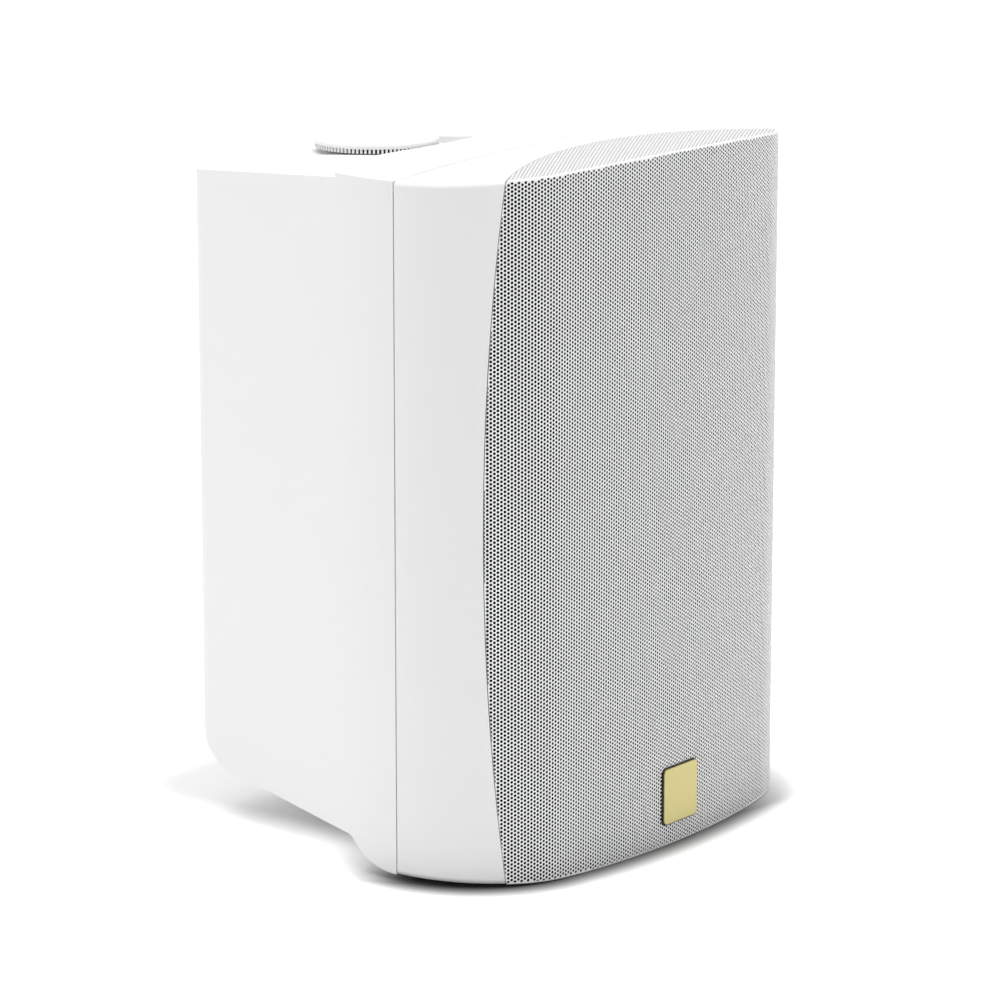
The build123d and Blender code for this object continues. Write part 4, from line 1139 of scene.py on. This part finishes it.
@dataclass
class Studio:
    """Camera, floor, backdrop and soft light."""

    eye: Triple = (-1.5131, -1.1441, 0.5622)
    yaw: float = 52.92
    pitch: float = 12.547
    lens: float = 157.1
    sensor: float = 36.0
    clip: Limits = (0.05, 50.0)
    ambient: float = 0.29
    floor_size: float = 8.0
    floor_colour: Triple = grey(0.96)
    # Painted contact shadow: the floor's colour where the bezel's base meets the floor
    painted_shadow_colour: Triple = grey(0.13)
    front_middle: Triple = (0.0, -36.6 * MM, 0.0)
    front_half: Triple = (64.5 * MM, 0.0, 0.0)
    front_bulge: float = 6.1 * MM
    front_radius: float = 400.0 * MM
    tub_middle: Triple = (0.0, 40.0 * MM, 0.0)
    tub_half: Triple = (52.0 * MM, 82.0 * MM, 0.0)
    front_shade: Limits = (57.0 * MM, 86.0 * MM)
    contact_shade: Limits = (53.0 * MM, 74.0 * MM)
    tub_shade: Limits = (18.0 * MM, 66.0 * MM)
    roll_shade: Limits = (-46.0 * MM, -8.0 * MM)
    roll_open: Limits = (-24.0 * MM, 30.0 * MM)
    right_open: Limits = (40.0 * MM, 110.0 * MM)
    lamps: tuple[Lamp, ...] = (
        Lamp("overhead", (-0.1, 0.1, 1.9), (0.0, 0.0, 0.1), 1.8, 26.0),
        Lamp("left_fill", (-1.6, 1.25, 1.1), (0.0, 0.0, 0.15), 1.2, 14.0),
        Lamp("front_fill", (0.2, -1.9, 1.1), (0.0, 0.0, 0.15), 1.2, 13.4),
    )

    def camera(self) -> bpy.types.Object:
        """Camera at the photograph's place: yaw to the left, pitch downwards.

        Returns:
            The camera.
        """
        yaw, pitch = math.radians(self.yaw), math.radians(self.pitch)
        level = math.cos(pitch)
        back = Vector((-math.sin(yaw) * level, -math.cos(yaw) * level, math.sin(pitch)))
        right = Vector((math.cos(yaw), -math.sin(yaw), 0.0))
        up = back.cross(right)
        data = bpy.data.cameras.new("camera")
        data.lens = self.lens
        data.sensor_width = self.sensor
        data.clip_start, data.clip_end = self.clip
        piece = bpy.data.objects.new("camera", data)
        turn = Matrix((right, up, back)).transposed().to_4x4()
        piece.matrix_world = Matrix.Translation(self.eye) @ turn
        bpy.context.scene.collection.objects.link(piece)
        bpy.context.scene.camera = piece
        return piece

    def world(self) -> None:
        """Even light from all round, with a white backdrop where it is looked at."""
        world = bpy.data.worlds.new("studio")
        world.use_nodes = True
        bpy.context.scene.world = world
        graph = Graph(world.node_tree)
        kind = "ShaderNodeBackground"
        lit = graph.node(kind, {}, {"Color": grey(1.0), "Strength": self.ambient})
        shown = graph.node(kind, {}, {"Color": grey(1.0), "Strength": 1.0})
        mixed = graph.node("ShaderNodeMixShader", {}, {0: graph.seen(), 1: lit, 2: shown})
        graph.node("ShaderNodeOutputWorld", {}, {"Surface": mixed})

    def floor(self) -> bpy.types.Object:
        """White floor that keeps the shadow near the speaker and fades to plain white further off.

        Distances from the bezel's bowed outline and from the tub's box are turned into smooth steps:
        one product of them lifts the floor to white, and another paints a dark contact shadow into the
        floor's colour where the bezel stands.

        Returns:
            The floor.
        """
        side = np.array([-self.floor_size / 2, self.floor_size / 2])
        piece = mesh_piece("floor", grid_mesh(grid_of(side[None, :], side[:, None], 0.0)))
        graph = Surface("floor_white")
        where = graph.node("ShaderNodeTexCoord", output="Object")
        across = graph.node("ShaderNodeSeparateXYZ", {}, {0: where}, "X")
        back = graph.node("ShaderNodeSeparateXYZ", {}, {0: where}, "Y")
        arch = self.front_bulge - across * across / (2.0 * self.front_radius)
        bowed = graph.node("ShaderNodeCombineXYZ", {}, {"X": across, "Y": back + arch.most(0.0)})
        from_front = graph.outside(bowed, self.front_middle, self.front_half)
        from_tub = graph.outside(where, self.tub_middle, self.tub_half)
        lit_front = graph.step(from_front, self.front_shade).most(graph.step(back, self.roll_open))
        fade = lit_front * graph.step(from_tub, self.tub_shade)
        # Mask of the painted contact shadow: dark at the bezel's outline, fading out to the right and
        # towards the back
        clear = graph.step(from_front, self.contact_shade).most(graph.step(across, self.right_open))
        clear = clear.most(graph.step(back, self.roll_shade))
        graph.fill(
            Base_Color=graph.tint(clear, self.painted_shadow_colour, self.floor_colour),
            Roughness=1.0,
            Specular_IOR_Level=0.0,
            Emission_Color=fade * graph.seen(),
            Emission_Strength=1.0,
        )
        piece.data.materials.append(graph.material)
        return piece

    def build(self) -> None:
        """Set up the whole studio."""
        bpy.context.scene.view_settings.view_transform = "Standard"
        self.camera()
        self.world()
        self.floor()
        for lamp in self.lamps:
            lamp.build()


def dress_solids(frame: Mapping[str, Any], palette: Palette) -> None:
    """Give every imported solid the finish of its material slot.

    Args:
        palette: the finishes.
    """
    for part in frame["record"]["subparts"]:
        palette.dress(frame["nodes"][part["node"]], part["material_slot"])


def main() -> None:
    """Load the frame, build the pieces and log each piece's face count."""
    logging.basicConfig(level=logging.INFO, format="%(message)s")
    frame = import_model()
    palette = Palette()
    dress_solids(frame, palette)
    for assembly in (PerforatedGrille(), TopKnob(), BadgePad(), Drivers()):
        for piece in assembly.build(palette):
            LOG.info("%s: %d faces", piece.name, len(piece.data.polygons))
    Studio().build()


if __name__ == "__main__":
    main()
